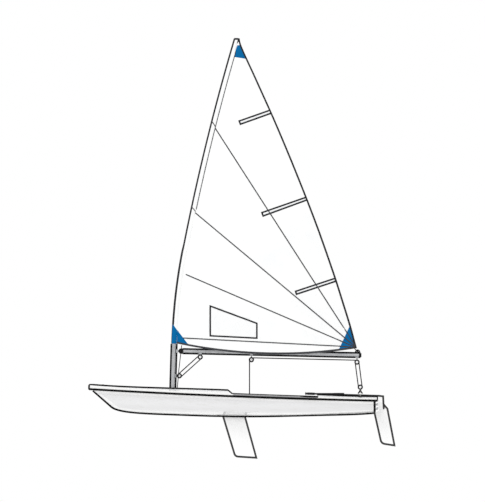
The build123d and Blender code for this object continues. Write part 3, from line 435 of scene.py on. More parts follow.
def deckFinish():
    finish = Finish("deckGelcoat", {"Roughness": 0.3, "Coat Weight": 0.3, "Coat Roughness": 0.1})
    place = finish.place()
    x, y, z = finish.axes(place)
    stops = [(share, (width, width, width, 1)) for share, width in deckLook["halfWidths"]]
    half = finish.add("ShaderNodeValToRGB", {"stops": stops}, [(x - deckLook["bow"]) / deckLook["length"]])
    inside = finish.step(half - abs(y) - deckLook["edgeMargin"], 0.0, 0.004)
    facing = finish.axes(finish.place("Normal"))[2]
    grip = inside * finish.step(facing, 0.9, 0.96)
    # mask of the painted shade on the lip: sideways-facing deck outside the half width, between the two ends
    (front, back), fade, outer = deckLook["shadedLipEnds"], deckLook["shadedLipFade"], deckLook["shadedLipHalfWidth"]
    lipShadeMask = finish.step(facing, 0.4, 0.5, 1.0, 0.0) * finish.step(abs(y), outer, outer + 0.01)
    lipShadeMask = lipShadeMask * finish.step(x, front, front + fade) * finish.step(x, back - fade, back, 1.0, 0.0)
    sockets = {"Vector": place, "Scale": deckLook["gripGrain"]}
    grain = finish.add("ShaderNodeTexVoronoi", {"feature": "F1"}, sockets)
    wear = finish.noise(place, 5.0, 4.0)
    shade = finish.blended(grip, deckLook["colour"], deckLook["gripColour"])
    # the lip's painted shade goes over the deck colour here
    shade = finish.blended(lipShadeMask, shade, deckLook["lipShadeColour"])
    finish.paint(finish.step(wear, 0.5, 0.85, 0.0, 0.3), shade, deckLook["wornColour"])
    finish.feed("Roughness", grip * deckLook["gripRough"] + finish.step(wear, 0.3, 0.7, 0.22, 0.36))
    finish.bump(grip * (1 - grain * 2.0), strength=0.35, distance=0.0012)
    return finish


def foilFinish(name, corners, radius):
    finish = Finish(name, {"Roughness": 0.3, "Coat Weight": 0.25, "Coat Roughness": 0.12})
    place = finish.place()
    x, y, z = finish.axes(place)
    edge = finish.nearPath(x, z, rounded(corners, radius) if radius else corners, foilLook["lineWidth"])
    scuffs = finish.noise(finish.stretched(place, foilLook["scuffStretch"]), 1.0, 4.0)
    scuffed = finish.step(scuffs, 0.55, 0.85, 0.0, 0.2)
    worn = finish.blended(scuffed, foilLook["colour"], foilLook["wornColour"])
    finish.paint(edge, worn, foilLook["lineColour"])
    finish.polish(scuffs, 0.25, 0.42)
    finish.bump(scuffs, strength=0.06, distance=0.0008)
    return finish


# Metal, plastic and cloth
def sparFinish(name, shade, stretch):
    # brushed along the tube, with the faint bloom of anodising
    finish = Finish(name, {"Metallic": 0.75, "Roughness": 0.36})
    place = finish.place()
    brushed = finish.noise(finish.stretched(place, stretch), 1.0, 4.0)
    bloom = finish.noise(place, 6.0)
    finish.paint(finish.step(bloom, 0.35, 0.65), colour(*shade), colour(*(part - 16 for part in shade)))
    finish.polish(brushed, 0.30, 0.44)
    finish.bump(brushed, strength=0.08, distance=0.0006)
    return finish


def steelFinish(first, second, stretch):
    finish = Finish("stainlessSteel", {"Metallic": 1.0, "Roughness": 0.2})
    grain = finish.noise(finish.stretched(finish.place(), stretch), 1.0, 4.0)
    finish.paint(grain, colour(*first), colour(*second))
    finish.polish(grain, 0.16, 0.32)
    finish.bump(grain, strength=0.05, distance=0.0004)
    return finish


def plasticFinish(name, shade, rough=0.42, shine=0.35):
    finish = Finish(name, {"Roughness": rough, "Specular IOR Level": shine})
    place = finish.place()
    mould = finish.noise(place, 700.0, 2.0)
    fade = finish.noise(place, 18.0)
    pale = colour(*(min(part + 16, 255) for part in shade))
    finish.paint(finish.step(fade, 0.4, 0.75), colour(*shade), pale)
    finish.polish(fade, rough - 0.06, rough + 0.12)
    finish.bump(mould, strength=0.12, distance=0.0005)
    return finish


def clothFinish(name, shade, deep, shine=0.3, thread=520.0):
    # tightly woven polyester with a hard resin finish
    finish = Finish(name, {"Roughness": 0.5, "Specular IOR Level": shine})
    place = finish.place()
    x, y, z = finish.axes(place)
    warp, weft = ((way * (thread * 2 * math.pi / 3)).sine() for way in (x, z))
    crinkle = finish.noise(place, 2.6, 6.0, 0.6)
    handled = finish.noise(place, 14.0, 4.0)
    finish.paint(finish.step(crinkle, 0.3, 0.75), colour(*shade), colour(*deep))
    finish.polish(handled, 0.42, 0.6)
    finish.bump(warp * weft * 0.08 + crinkle * 3.0 + handled * 0.4, strength=0.22, distance=0.004)
    return finish


def ropeFinish(name, shade, fleck, turns=5.0, pitch=95.0):
    # a plaited cover: two families of yarns cross round the rope
    finish = Finish(name, {"Roughness": 0.72, "Specular IOR Level": 0.15})
    around, along, depth = finish.axes(finish.place("UV"))
    right = (around * (turns * 2 * math.pi) + along * (pitch * 2 * math.pi)).sine()
    left = (around * (turns * 2 * math.pi) - along * (pitch * 2 * math.pi)).sine()
    yarn = right.larger(left)
    finish.paint(finish.step(right * left, 0.35, 0.6), colour(*shade), colour(*fleck))
    finish.polish(yarn, 0.85, 0.65, 0.0, 1.0)
    finish.bump(yarn, strength=0.6, distance=0.0012)
    return finish


def webbingFinish(shade, thread, stitchRow=0.018):
    finish = Finish("strapWebbing", {"Roughness": 0.78, "Sheen Weight": 0.25})
    x, y, z = finish.axes(finish.place())
    ribs = (x * 1700.0).sine() * 0.5 + (y * 2200.0).sine() * 0.5
    stitched = finish.step(abs(abs(y) - stitchRow), 0.0012, 0.0018, 1.0, 0.0)
    finish.paint(stitched * finish.step((x * 900.0).sine(), -0.2, 0.0), colour(*shade), colour(*thread))
    finish.polish(ribs, 0.9, 0.66, -1.0, 1.0)
    finish.bump(ribs, strength=0.5, distance=0.0008)
    return finish


def filmFinish(shade, deep):
    finish = Finish("windowFilm", {"Roughness": 0.08, "IOR": 1.45, "Alpha": 0.3, "Coat Weight": 0.3})
    haze = finish.noise(finish.place(), 9.0, 5.0)
    finish.paint(haze, colour(*shade), colour(*deep))
    finish.polish(haze, 0.05, 0.2, 0.3, 0.8)
    finish.feed("Alpha", finish.step(haze, 0.3, 0.8, 0.16, 0.26))
    finish.bump(haze, strength=0.05, distance=0.001)
    return finish


finishes = {
    "hullGelcoat": hullFinish(),
    "deckGelcoat": deckFinish(),
    "boardGelcoat": foilFinish("boardGelcoat", *foilLook["board"]),
    "bladeGelcoat": foilFinish("bladeGelcoat", *foilLook["blade"]),
    "headCoating": foilFinish("headCoating", *foilLook["head"]),
    "mastAlloy": sparFinish("mastAlloy", (186, 187, 189), (260.0, 260.0, 3.0)),
    "boomAlloy": sparFinish("boomAlloy", (190, 191, 193), (3.0, 260.0, 260.0)),
    "tillerTube": plasticFinish("tillerTube", (24, 24, 26), 0.34, 0.2),
    "gripFoam": plasticFinish("gripFoam", (28, 28, 30), 0.8),
    "blackNylon": plasticFinish("blackNylon", (16, 16, 18), 0.45, 0.2),
    "whiteNylon": plasticFinish("whiteNylon", (250, 250, 250), 0.4),
    "steel": steelFinish((196, 198, 200), (160, 162, 165), (60.0, 300.0, 60.0)),
    "sailcloth": clothFinish("sailcloth", (254, 254, 253), (248, 249, 250)),
    "patchCloth": clothFinish("patchCloth", (0, 106, 166), (0, 98, 156), 0.06),
    "pocketCloth": clothFinish("pocketCloth", (248, 249, 250), (240, 241, 243)),
    "tape": clothFinish("edgeTape", (40, 41, 44), (32, 33, 36), 0.1),
    "seam": clothFinish("seamThread", (70, 71, 74), (58, 59, 62), 0.1),
    "rope": ropeFinish("plaitedRope", (6, 6, 7), (30, 31, 33)),
    "paleRope": ropeFinish("paleRope", (214, 214, 210), (150, 152, 156)),
    "webbing": webbingFinish((34, 35, 38), (140, 142, 146)),
    "film": filmFinish((252, 253, 253), (244, 247, 248)),
    "trim": plasticFinish("edgeTrim", (4, 4, 5), 0.6, 0.06),
}
# every other node is black nylon
finishNodes = {
    "hullGelcoat": ["hull"],
    "deckGelcoat": ["deck"],
    "boardGelcoat": ["daggerboard"],
    "bladeGelcoat": ["rudder_blade"],
    "headCoating": ["rudder_head"],
    "mastAlloy": ["mast_lower", "mast_upper"],
    "boomAlloy": ["boom", "mainsheet_mid_strap", "mainsheet_aft_strap"],
    "tillerTube": ["tiller"],
    "gripFoam": ["tiller_extension"],
    "webbing": ["hiking_strap"],
    "paleRope": ["traveller_rope"],
    "steel": [
        "gudgeon_lower", "gudgeon_upper", "pintle_lower", "pintle_upper",
        "vang_key", "vang_band", "gooseneck",
    ],
}
for name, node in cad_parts.items():
    if name != "sail":
        finish = next((finish for finish, nodes in finishNodes.items() if name in nodes), "blackNylon")
        node.data.materials.clear()
        node.data.materials.append(finishes[finish].material)
print("finishes made:", len(finishes))

# Sail
sail = {
    "columns": 44,
    "rows": 84,
    "thickness": 0.0009,
    "camberShare": 0.085,
    "mastFoot": (-1.0548, 0.310),  # x and z of the mast's axis at the deck
    "mastRake": 1.71,
    "bends": [(0.9756, 8.465, 1.71), (2.3338, 33.0, 10.97)],  # start height, radius, lean at the start
    "mastRadii": [(0.0, 0.0318), (2.30, 0.0318), (2.42, 0.0254), (6.0, 0.0254)],
    "tackHeight": 0.976,
    "headHeight": 5.434,
    "footCorner": (-0.820, 0.932),
    "footLow": (0.396, 0.809),
    "clew": (1.639, 0.9000),
    # height, and x of the leech there
    "leech": [
        (0.9000, 1.639), (1.235, 1.549), (1.604, 1.435), (1.971, 1.318), (2.702, 1.061),
        (3.434, 0.776), (4.165, 0.472), (4.823, 0.178), (5.340, -0.056), (5.434, -0.077),
    ],
    # height, and how far the leech falls off to port; then the chord's end there
    "falls": [(0.70, 0.0), (1.971, 0.060), (3.434, 0.090), (4.823, 0.060), (5.56, 0.016)],
    "chordEnds": [(0.70, 1.690), (1.971, 1.340), (3.434, 0.800), (4.823, 0.200), (5.56, -0.020)],
    "creaseDepth": 0.004,
    # folds to a radian, how far they die away, how near they start, how far aside their centre lies
    "clewCrease": (34, 0.9, 0.25, 0.0),
    "tackCrease": (16, 0.5, 0.2, 0.001),
    "scallopDepth": 0.003,
    "scallopWaves": 9.0,
    "scallopStart": 30,
    "sleeveWidth": 0.076,  # from the mast's front to the sleeve's seam
    "sleeveTaper": (5.2, 0.25),  # from this height it narrows by this share
    "sleeveThickness": 0.0032,
    "sleeveBulge": 0.004,
    "sleeveFoot": 0.966,
    "seamGap": 0.002,
}
# what is sewn on the cloth: widths, places, thicknesses and how far the layers' undersides are lifted
sewn = {
    "tapeWidth": 0.027,
    "seamWidth": 0.016,
    "stripLift": 0.0044,
    "lift": 0.0011,
    "patch": 0.0007,
    "pocketEdge": 0.0012,
    "pocket": 0.0028,
    "pocketEdges": (-0.004, 0.020),  # outer and inner edge, inwards from the outline
    "windowTape": 0.0006,
    "windowEdges": (-0.012, 0.011),
    "film": 0.0005,
    "edgeTapeLift": 0.0019,
    "edgeTape": 0.0005,
    "sleeveTapeLift": 0.0003,
    "sleeveTape": 0.0008,
    "sleevePatchLift": 0.0012,
    "capLift": 0.0006,
    "cap": 0.0012,
    "capEnds": (-0.022, 0.004),  # from the head's height
    "headStripWidth": 0.02,
    "headStrip": ((-0.006, 0.0), (-0.018, -0.075)),  # its ends, from the seam's place at the head
    "pipingLift": 0.001,
    "pipingRadius": 0.007,
    "pipingEnds": (0.966, 5.43),
    "sleeveSeamEnds": (2.930, 5.2442),
    "crossSeamLift": 0.002,
    "crossSeamRadius": 0.006,
    "crossSeamRows": [(120.7, 126.6), (206.6, 211.4)],  # in the picture, at the luff and at the sleeve's seam
}
# places in the picture
sailPixels = {
    "window": [(210.3, 306.1), (256.8, 323.4), (256.8, 338.1), (210.3, 335.8)],
    "headPatch": [(240.6, 45.2), (246.4, 58.9), (233.2, 56.8), (237.4, 45.2)],
    "tackPatch": [(173.2, 324.6), (190.2, 347.0), (186.0, 354.0), (165.0, 352.0)],
    "clewPatch": [(354.2, 316.0), (337.0, 353.4), (347.0, 356.0), (360.0, 346.0)],
    "battenPocket1": [(270.5, 109.5), (271.5, 113.7), (240.1, 124.9), (238.5, 120.7)],
    "battenPocket2": [(306.4, 196.6), (307.3, 200.4), (262.8, 216.7), (261.2, 212.3)],
    "battenPocket3": [(335.5, 277.6), (336.2, 281.7), (296.1, 294.9), (294.9, 291.0)],
    "sailSeam1": [(211.0, 121.7), (355.4, 345.8)],
    "sailSeam2": [(190.8, 209.1), (355.2, 346.5)],
    "sailSeam3": [(185.7, 274.4), (354.8, 347.0)],
    "sailSeam4": [(183.0, 338.0), (351.0, 346.8)],
}
outlines = {name: [pictured(*pixel) for pixel in pixels] for name, pixels in sailPixels.items()}


def mastRun(startX, startHeight, radius, lean, height):
    lean = math.radians(lean)
    if radius is None:
        return startX + (height - startHeight) * math.tan(lean)
    level = startHeight - radius * math.sin(lean)
    return startX + radius * math.cos(lean) - math.sqrt(radius * radius - (height - level) ** 2)


def mastAxis(height):
    startX, startHeight = sail["mastFoot"]
    radius, lean = None, sail["mastRake"]
    for bendHeight, bendRadius, bendLean in sail["bends"]:
        if height <= bendHeight:
            break
        startX = mastRun(startX, startHeight, radius, lean, bendHeight)
        startHeight, radius, lean = bendHeight, bendRadius, bendLean
    return mastRun(startX, startHeight, radius, lean, height)


def crease(across, up, waves, fade, start, aside):
    # folds that fan out from a corner of the sail
    reach = math.hypot(across, up)
    depth = sail["creaseDepth"] * math.exp(-reach / fade) * min(reach / start, 1)
    return depth * math.sin(math.atan2(up, across + aside) * waves)


def onCloth(x, height):
    # the cloth at a place of the side view
    luff = mastAxis(height)
    chord = smoothed(sail["chordEnds"], height) - luff
    share = (x - luff) / chord
    belly = 4 * sail["camberShare"] * chord * share * (1 - share)
    clewX, clewHeight = sail["clew"]
    creases = crease(clewX - x, height - clewHeight, *sail["clewCrease"])
    creases += crease(x - luff, height - sail["tackHeight"], *sail["tackCrease"])
    waves, away = sail["scallopWaves"], abs(share)
    scallop = sail["scallopDepth"] * math.exp(-away * waves) * min(away * sail["scallopStart"], 1)
    creases += scallop * math.sin(height * waves)
    return Vector((x, creases - smoothed(sail["falls"], height) * share - belly, height))


def footHeight(x):
    tackX, (cornerX, cornerHeight) = mastAxis(sail["tackHeight"]), sail["footCorner"]
    if x < cornerX:
        return sail["tackHeight"] + (cornerHeight - sail["tackHeight"]) * (x - tackX) / (cornerX - tackX)
    return onCurve((sail["footCorner"], sail["footLow"], sail["clew"]), x)


def clothPoint(column, row):
    # shares from luff to leech and from foot to head
    tackHeight, headHeight = sail["tackHeight"], sail["headHeight"]
    clewX, clewHeight = sail["clew"]
    left = tackHeight + (headHeight - tackHeight) * row
    right = clewHeight + (headHeight - clewHeight) * row
    leftX, rightX = mastAxis(left), smoothed(sail["leech"], right)
    footX = mastAxis(tackHeight) + (clewX - mastAxis(tackHeight)) * column
    hollow = footHeight(footX) - (tackHeight + (clewHeight - tackHeight) * column)
    return leftX + (rightX - leftX) * column, left + (right - left) * column + hollow * (1 - row) ** 3


def clothMesh():
    # its last column and its first row are as wide as the tapes that lie on them
    cloth = bmesh.new()
    columnLayer, rowLayer = (cloth.faces.layers.int.new(name) for name in ("column", "row"))
    columns, rows, tape = sail["columns"], sail["rows"], sewn["tapeWidth"]
    footShare = tape / (sail["headHeight"] - sail["tackHeight"])
    grid = []
    for rowShare in [0.0, *spread(footShare, 1, rows - 1)]:
        width = clothPoint(1, rowShare)[0] - clothPoint(0, rowShare)[0]
        shares = [*spread(0, 1 - min(tape / width, 0.3), columns - 1), 1.0]
        grid.append([cloth.verts.new(onCloth(*clothPoint(share, rowShare))) for share in shares])
    for row in range(rows):
        for column in range(columns):
            low, high = grid[row][column : column + 2], grid[row + 1][column : column + 2]
            face = cloth.faces.new((*low, *reversed(high)))
            face[columnLayer], face[rowLayer] = column, row
    return cloth


def scored(cloth, corners):
    # cuts the cloth along each edge of an outline, without removing anything
    for (x0, z0), (x1, z1) in zip(corners, corners[1:] + corners[:1]):
        parts = cloth.verts[:] + cloth.edges[:] + cloth.faces[:]
        across = (z1 - z0, 0, x0 - x1)
        bmesh.ops.bisect_plane(cloth, geom=parts, plane_co=(x0, 0, z0), plane_no=across, dist=1e-6)


def markedCloth():
    # every piece starts from the same cuts, so that facets of neighbouring layers agree
    cloth = clothMesh()
    for name in ("window", "headPatch", "tackPatch", "clewPatch"):
        scored(cloth, outlines[name])
    return cloth


def within(corners, face):
    point = face.calc_center_median()
    signs = [
        (x1 - x0) * (point.z - z0) - (z1 - z0) * (point.x - x0) > 0
        for (x0, z0), (x1, z1) in zip(corners, corners[1:] + corners[:1])
    ]
    return all(signs) or not any(signs)


def clothPiece(name, cloth, test, finish, lift, thickness, sides=(-1, 1)):
    # thin plates over the faces that pass a test, on each side of the cloth that is named in sides
    bmesh.ops.delete(cloth, geom=[face for face in cloth.faces if not test(face)], context="FACES")
    cloth.normal_update()
    order = {vertex: index for index, vertex in enumerate(cloth.verts)}
    faces = [tuple(order[vertex] for vertex in face.verts) for face in cloth.faces]
    rims = [[order[vertex] for vertex in edge.verts] for edge in cloth.edges if len(edge.link_faces) == 1]
    count = len(cloth.verts)
    parts = []
    for side in sides:
        inner = [vertex.co + vertex.normal * side * lift for vertex in cloth.verts]
        outer = [vertex.co + vertex.normal * side * (lift + thickness) for vertex in cloth.verts]
        shell = faces + [tuple(count + corner for corner in reversed(face)) for face in faces]
        shell += [(first, second, count + second, count + first) for first, second in rims]
        parts.append((inner + outer, shell))
    cloth.free()
    return pieceFrom(name, *joined(parts), finish, "rig", "sailcloth")


def clothLayer(name, finish, lift, thickness, outline, inner=None, sides=(-1, 1)):
    # a layer within an outline and, where there is one, outside an inner one
    cloth = markedCloth()
    scored(cloth, outline)
    if inner:
        scored(cloth, inner)

    def covered(face):
        return within(outline, face) and not (inner and within(inner, face))

    return clothPiece(name, cloth, covered, finish, lift, thickness, sides)


def shrunk(corners, width):
    # an outline moved inwards by a width, for a convex outline
    middle = Vector((sum(x for x, z in corners), sum(z for x, z in corners))) / len(corners)
    lines = []
    for (x0, z0), (x1, z1) in zip(corners, corners[1:] + corners[:1]):
        start, along = Vector((x0, z0)), Vector((x1 - x0, z1 - z0)).normalized()
        inward = Vector((-along.y, along.x))
        if inward.dot(middle - start) < 0:
            inward = -inward
        lines.append((start + inward * width, along))
    corners = []
    for (start, along), (other, direction) in zip(lines[-1:] + lines[:-1], lines):
        cross = along.x * direction.y - along.y * direction.x
        part = ((other - start).x * direction.y - (other - start).y * direction.x) / cross
        corners.append(tuple(start + along * part))
    return corners


def clothStrip(name, places, width, finish):
    # a flat strip through places of the side view, proud of both faces of the cloth
    places = [Vector(place) for place in places]
    out = Vector((0, sewn["stripLift"], 0))
    rings = []
    for index, place in enumerate(places):
        along = (places[min(index + 1, len(places) - 1)] - places[max(index - 1, 0)]).normalized()
        across = Vector((along.y, -along.x)) * width / 2
        front, back = onCloth(*(place - across)), onCloth(*(place + across))
        rings.append([front - out, back - out, back + out, front + out])
    return pieceFrom(name, *skinned(rings), finish, "rig", "sailcloth", smooth=False)


def makeSail():
    cloth = markedCloth()
    area = sum(face.calc_area() for face in cloth.faces)
    window, lift = outlines["window"], sewn["lift"]
    body = clothPiece(
        "sailCloth", cloth, lambda face: not within(window, face), "sailcloth", 0, sail["thickness"], (1,)
    )
    made = []
    for name in ("sailSeam1", "sailSeam2", "sailSeam3", "sailSeam4"):
        made.append(clothStrip(name, straightRun(*outlines[name], 60), sewn["seamWidth"], "seam"))
    for name in ("headPatch", "tackPatch", "clewPatch"):
        made.append(clothLayer(name, "patchCloth", lift, sewn["patch"], outlines[name]))
    for number in (1, 2, 3):
        outer, inner = (shrunk(outlines[f"battenPocket{number}"], width) for width in sewn["pocketEdges"])
        made.append(clothLayer(f"battenPocketEdge{number}", "tape", lift, sewn["pocketEdge"], outer, inner))
        made.append(clothLayer(f"battenPocket{number}", "pocketCloth", lift, sewn["pocket"], inner))
    outer, inner = (shrunk(window, width) for width in sewn["windowEdges"])
    made.append(clothLayer("windowTape", "tape", lift, sewn["windowTape"], outer, inner))
    made.append(clothLayer("sailWindow", "film", 0, sewn["film"], inner, sides=(1,)))
    lift, thickness = sewn["edgeTapeLift"], sewn["edgeTape"]
    for name, finish, layer, place in (
        ("leechTape", "tape", "column", sail["columns"] - 1),
        ("footTape", "seam", "row", 0),
        ("headTape", "tape", "row", sail["rows"] - 1),
    ):
        cloth = markedCloth()
        key = cloth.faces.layers.int[layer]
        made.append(clothPiece(name, cloth, lambda face: face[key] == place, finish, lift, thickness))
    return body, made, area


def sleevePoint(turn, height, lift=0.0):
    # round the sleeve: 0 to starboard, 0.5 at the mast's front, 1 to port, 2 at the seam and back to 3
    turn %= 3
    radius = smoothed(sail["mastRadii"], height) + sail["sleeveThickness"]
    axis = mastAxis(height)
    reach = radius + lift
    if turn <= 1:
        angle = math.pi * (0.5 + turn)
        return Vector((axis + reach * math.cos(angle), reach * math.sin(angle), height))
    taperFrom, taperShare = sail["sleeveTaper"]
    taper = taperShare * max(0.0, height - taperFrom) / (sail["headHeight"] - taperFrom)
    seam = onCloth(axis - radius + sail["sleeveWidth"] * (1 - taper), height)
    share, side = (turn - 1, -1) if turn <= 2 else (3 - turn, 1)
    bulge = sail["sleeveBulge"] * math.sin(math.pi * share) + (sail["seamGap"] + lift) * share
    place = Vector((axis, side * reach, height)).lerp(seam, share) + Vector((0, side * bulge, 0))
    out = Vector((place.x - axis, place.y, 0))
    if out.length < reach:  # the cloth lies on the mast before it runs to the seam
        place += out.normalized() * reach - out
    return place


def sleeveBand(name, turns, bottom, top, lift, thickness, finish, rows=90):
    # a plate on the sleeve, whose upper edge may depend on the place round it
    rings = []
    for row in range(rows + 1):
        heights = [bottom + (top(turn) - bottom) * row / rows for turn in turns]
        inner, outer = (
            [sleevePoint(turn, height, level) for turn, height in zip(turns, heights)]
            for level in (lift, lift + thickness)
        )
        rings.append(inner + outer[::-1])
    return pieceFrom(name, *skinned(rings), finish, "rig", "sailcloth")


def makeSleeve():
    low, high = sail["sleeveFoot"], sail["headHeight"]
    turns = [*spread(0, 1, 10), 1.17, 1.33, 1.5, 1.66, 1.83, 2.0, 2.001, 2.17, 2.34, 2.5, 2.67, 2.83]
    rings = [[sleevePoint(turn, height) for turn in turns] for height in spread(low, high, 90)]
    sleeve = pieceFrom("luffSleeve", *skinned(rings), "sailcloth", "rig", "sailcloth")
    lift, thickness = sewn["sleeveTapeLift"], sewn["sleeveTape"]
    tape = sleeveBand("luffTape", spread(0.13, 0.87, 10), low, lambda turn: high, lift, thickness, "tape")
    (x0, z0), (x1, z1) = outlines["tackPatch"][:2]

    def patchTop(turn):
        return z0 + (z1 - z0) * (sleevePoint(turn, z0).x - x0) / (x1 - x0)

    lift = sewn["sleevePatchLift"]
    patches = [
        sleeveBand(f"tackPatch{side}", spread(0.5, end, 14), low, patchTop, lift, thickness, "patchCloth", 12)
        for side, end in (("Port", 1.95), ("Starboard", -0.95))
    ]
    start, end = (high + offset for offset in sewn["capEnds"])
    cap = sleeveBand("headCap", turns, start, lambda turn: end, sewn["capLift"], sewn["cap"], "tape", 2)
    seamX = sleevePoint(2, high).x
    down = straightRun(*((seamX + x, high + height) for x, height in sewn["headStrip"]), 6)
    return [sleeve, tape, cap, clothStrip("headStrip", down, sewn["headStripWidth"], "tape"), *patches]


def makeCrossSeam(name, rows, end):
    # a radial seam that runs on round the sleeve to the luff
    first, last = (pictured(0, row)[1] for row in rows)
    level = (first + last) / 2
    front, back = sleevePoint(0.5, level).x, sleevePoint(2, level).x
    run = []
    for turn in spread(0.5, end, 14):
        height = first + (last - first) * (sleevePoint(turn, level).x - front) / (back - front)
        run.append(sleevePoint(turn, height, sewn["crossSeamLift"]))
    return tube(name, run, sewn["crossSeamRadius"], "seam", "rig", "sailcloth")


sailBody, sailDetails, sailArea = makeSail()
sleeveParts = makeSleeve()
luffRun = [sleevePoint(0.5, height, sewn["pipingLift"]) for height in spread(*sewn["pipingEnds"], 80)]
luffPiping = tube("luffPiping", luffRun, sewn["pipingRadius"], "tape", "rig", "sailcloth")
seamRun = [(sleevePoint(2, height).x, height) for height in spread(*sewn["sleeveSeamEnds"], 42)]
sleeveSeam = clothStrip("sleeveSeam", seamRun, sewn["seamWidth"], "seam")
crossSeams = [
    makeCrossSeam(f"crossSeam{number}{side}", rows, end)
    for number, rows in enumerate(sewn["crossSeamRows"], 1)
    for side, end in (("Port", 1.97), ("Starboard", -0.97))
]
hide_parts("sail")
print("sail made, square metres:", round(sailArea, 2))

# Edge trims, laid on the mouldings' own surfaces
trimLook = {
    "gunwaleRadius": 0.0165,
    "gunwaleLift": 0.003,  # above the joint line
    # rays inwards to the gunwale, once round from the stern: steps, then x, y and bearing at both ends
    "gunwaleRays": [
        (8, (1.70, -0.14, 0), (1.70, -0.40, 0)),
        (8, (1.86, -0.44, 0), (1.86, -0.44, -90)),
        (59, (1.84, 0, -90), (-2.122833, 0, -90)),
        (24, (-2.205, 0, -90), (-2.205, 0, -270)),
        (59, (-2.19, 0, 90), (1.772833, 0, 90)),
        (8, (1.86, 0.44, 90), (1.86, 0.44, 0)),
        (8, (1.70, 0.40, 0), (1.70, 0.14, 0)),
    ],
    "jointEnds": (-2.262, 1.925),
    "reach": 1.4,
    "crownRadius": 0.016,
    "crownLift": 0.008,
    "noseCentre": (-2.2, 0.025),  # x, and height above the joint line
    "noseFan": (196, 100, 12),  # first and last angle, and steps
    "sternCentre": (1.88, 0.02),
    "sternFan": (70, -10, 10),
    "crownEnds": {"fore": (-2.17, -1.10), "aft": (-1.00, -0.475), "deck": (1.062, 1.89)},
    "slotEnds": (-0.475, -0.19),
    "keelRadius": 0.0175,
    "keelLift": 0.007,
    "keelEnds": (-2.262, -1.857, 1.897),
    "edgeOffset": 0.040,  # the side deck's edge above the joint line
    "edgeEnds": (-0.20, 1.07),
    "edgeRadius": 0.013,
    "caseEnds": (-0.40, 0.06),
    "caseSide": 0.032,
    "casePoint": (0.03, 0.006),  # how far both lines beside the case run on, and how near they come
    "transomCentre": Vector((1.898, 0, 0.115)),
    "transomAngles": (173, 367),
    "transomReach": 1.2,
    "sealRadii": (0.068, 0.011),
    "sealHeight": 0.313,
}


def castRun(surface, rays, lift=0.0):
    # where rays first meet a surface, moved back towards their start by a lift
    run = []
    for start, direction in rays:
        direction = Vector(direction).normalized()
        hit = surface.ray_cast(Vector(start), direction)[0]
        if hit is not None:
            run.append(hit - direction * lift)
    return run


def gunwaleRays():
    rays = []
    for count, first, last in trimLook["gunwaleRays"]:
        for x, y, bearing in straightRun(first, last, count):
            out = spoke(bearing, 0, 1)
            low, high = trimLook["jointEnds"]
            height = jointHeight(max(low, min(high, x + 0.06 * out.x))) + trimLook["gunwaleLift"]
            rays.append((Vector((x, y, height)) + out * trimLook["reach"], -out))
    return rays


def layTrim(node, name, rays, radius, lift=0.0):
    tube(name, castRun(trees[node], rays, lift), trimLook[radius], "trim", "hull", f"{node}_shell")


def fanRays(centre, fan):
    # inwards to a place of the side view
    middle = Vector((centre[0], 0, jointHeight(centre[0]) + centre[1]))
    return [(middle + spoke(angle), -spoke(angle)) for angle in spread(*fan)]


def layDeckTrims():
    def crown(name, ends, count=30, y=0, before=(), after=()):
        down = [((x, y, 1.0), (0, 0, -1)) for x in spread(*ends, count)]
        layTrim("deck", name, [*before, *down, *after], "crownRadius", trimLook["crownLift"])

    layTrim("deck", "gunwaleLine", gunwaleRays(), "gunwaleRadius")
    for side, label in ((-1, "Port"), (1, "Starboard")):
        places = [(x, side * trimLook["reach"], jointHeight(x)) for x in spread(*trimLook["edgeEnds"], 30)]
        rays = [((x, y, height + trimLook["edgeOffset"]), (0, -side, 0)) for x, y, height in places]
        layTrim("deck", f"sideDeckEdge{label}", rays, "edgeRadius")
    ends, case = trimLook["crownEnds"], trimLook["caseSide"]
    nose, stern = (fanRays(trimLook[f"{end}Centre"], trimLook[f"{end}Fan"]) for end in ("nose", "stern"))
    crown("foredeckCrownFore", ends["fore"], before=nose)
    crown("foredeckCrownAft", ends["aft"])
    crown("slotEdgePort", trimLook["slotEnds"], 40, y=-case)
    crown("slotEdgeStarboard", trimLook["slotEnds"], 40, y=case)
    sealRadius, wireRadius = trimLook["sealRadii"]
    centre = Vector((mastAxis(sail["mastFoot"][1]), 0, trimLook["sealHeight"]))
    ring = circle(centre, sealRadius, Vector((1, 0, 0)), Vector((0, 1, 0)), 36)
    tube("mastFootSeal", [*ring, ring[0]], wireRadius, "blackNylon", "hull", "deck_shell")
    crown("aftDeckCrown", ends["deck"], 40, after=stern)


def layHullTrims():
    (front, back), (onward, near), case = trimLook["caseEnds"], trimLook["casePoint"], trimLook["caseSide"]
    bow, chin, stern = trimLook["keelEnds"]
    keel = spread(bow, chin, 30)[:-1] + spread(chin, stern, 90)
    lines = {
        "Fore": [*[(x, 0) for x in keel if x < front], (front, 0)],
        "Aft": [(back, 0), *[(x, 0) for x in keel if x > back]],
    }
    for side, label in ((-1, "Port"), (1, "Starboard")):
        beside = [(x, side * case) for x in keel if front < x < back]
        lines[f"Case{label}"] = [(front - onward, side * near), *beside, (back + onward, side * near)]
    for label, places in lines.items():
        rays = [((x, y, -1.0), (0, 0, 1)) for x, y in places]
        layTrim("hull", f"keelTrim{label}", rays, "keelRadius", trimLook["keelLift"])
    rays = []
    for angle in spread(*trimLook["transomAngles"], 56):
        out = spoke(angle, 1, 2)
        rays.append((trimLook["transomCentre"] + out * trimLook["transomReach"], -out))
    layTrim("hull", "transomTrim", rays, "gunwaleRadius")


trees = {name: nodeTree(name) for name in ("hull", "deck")}
layDeckTrims()
layHullTrims()
print("trims laid")

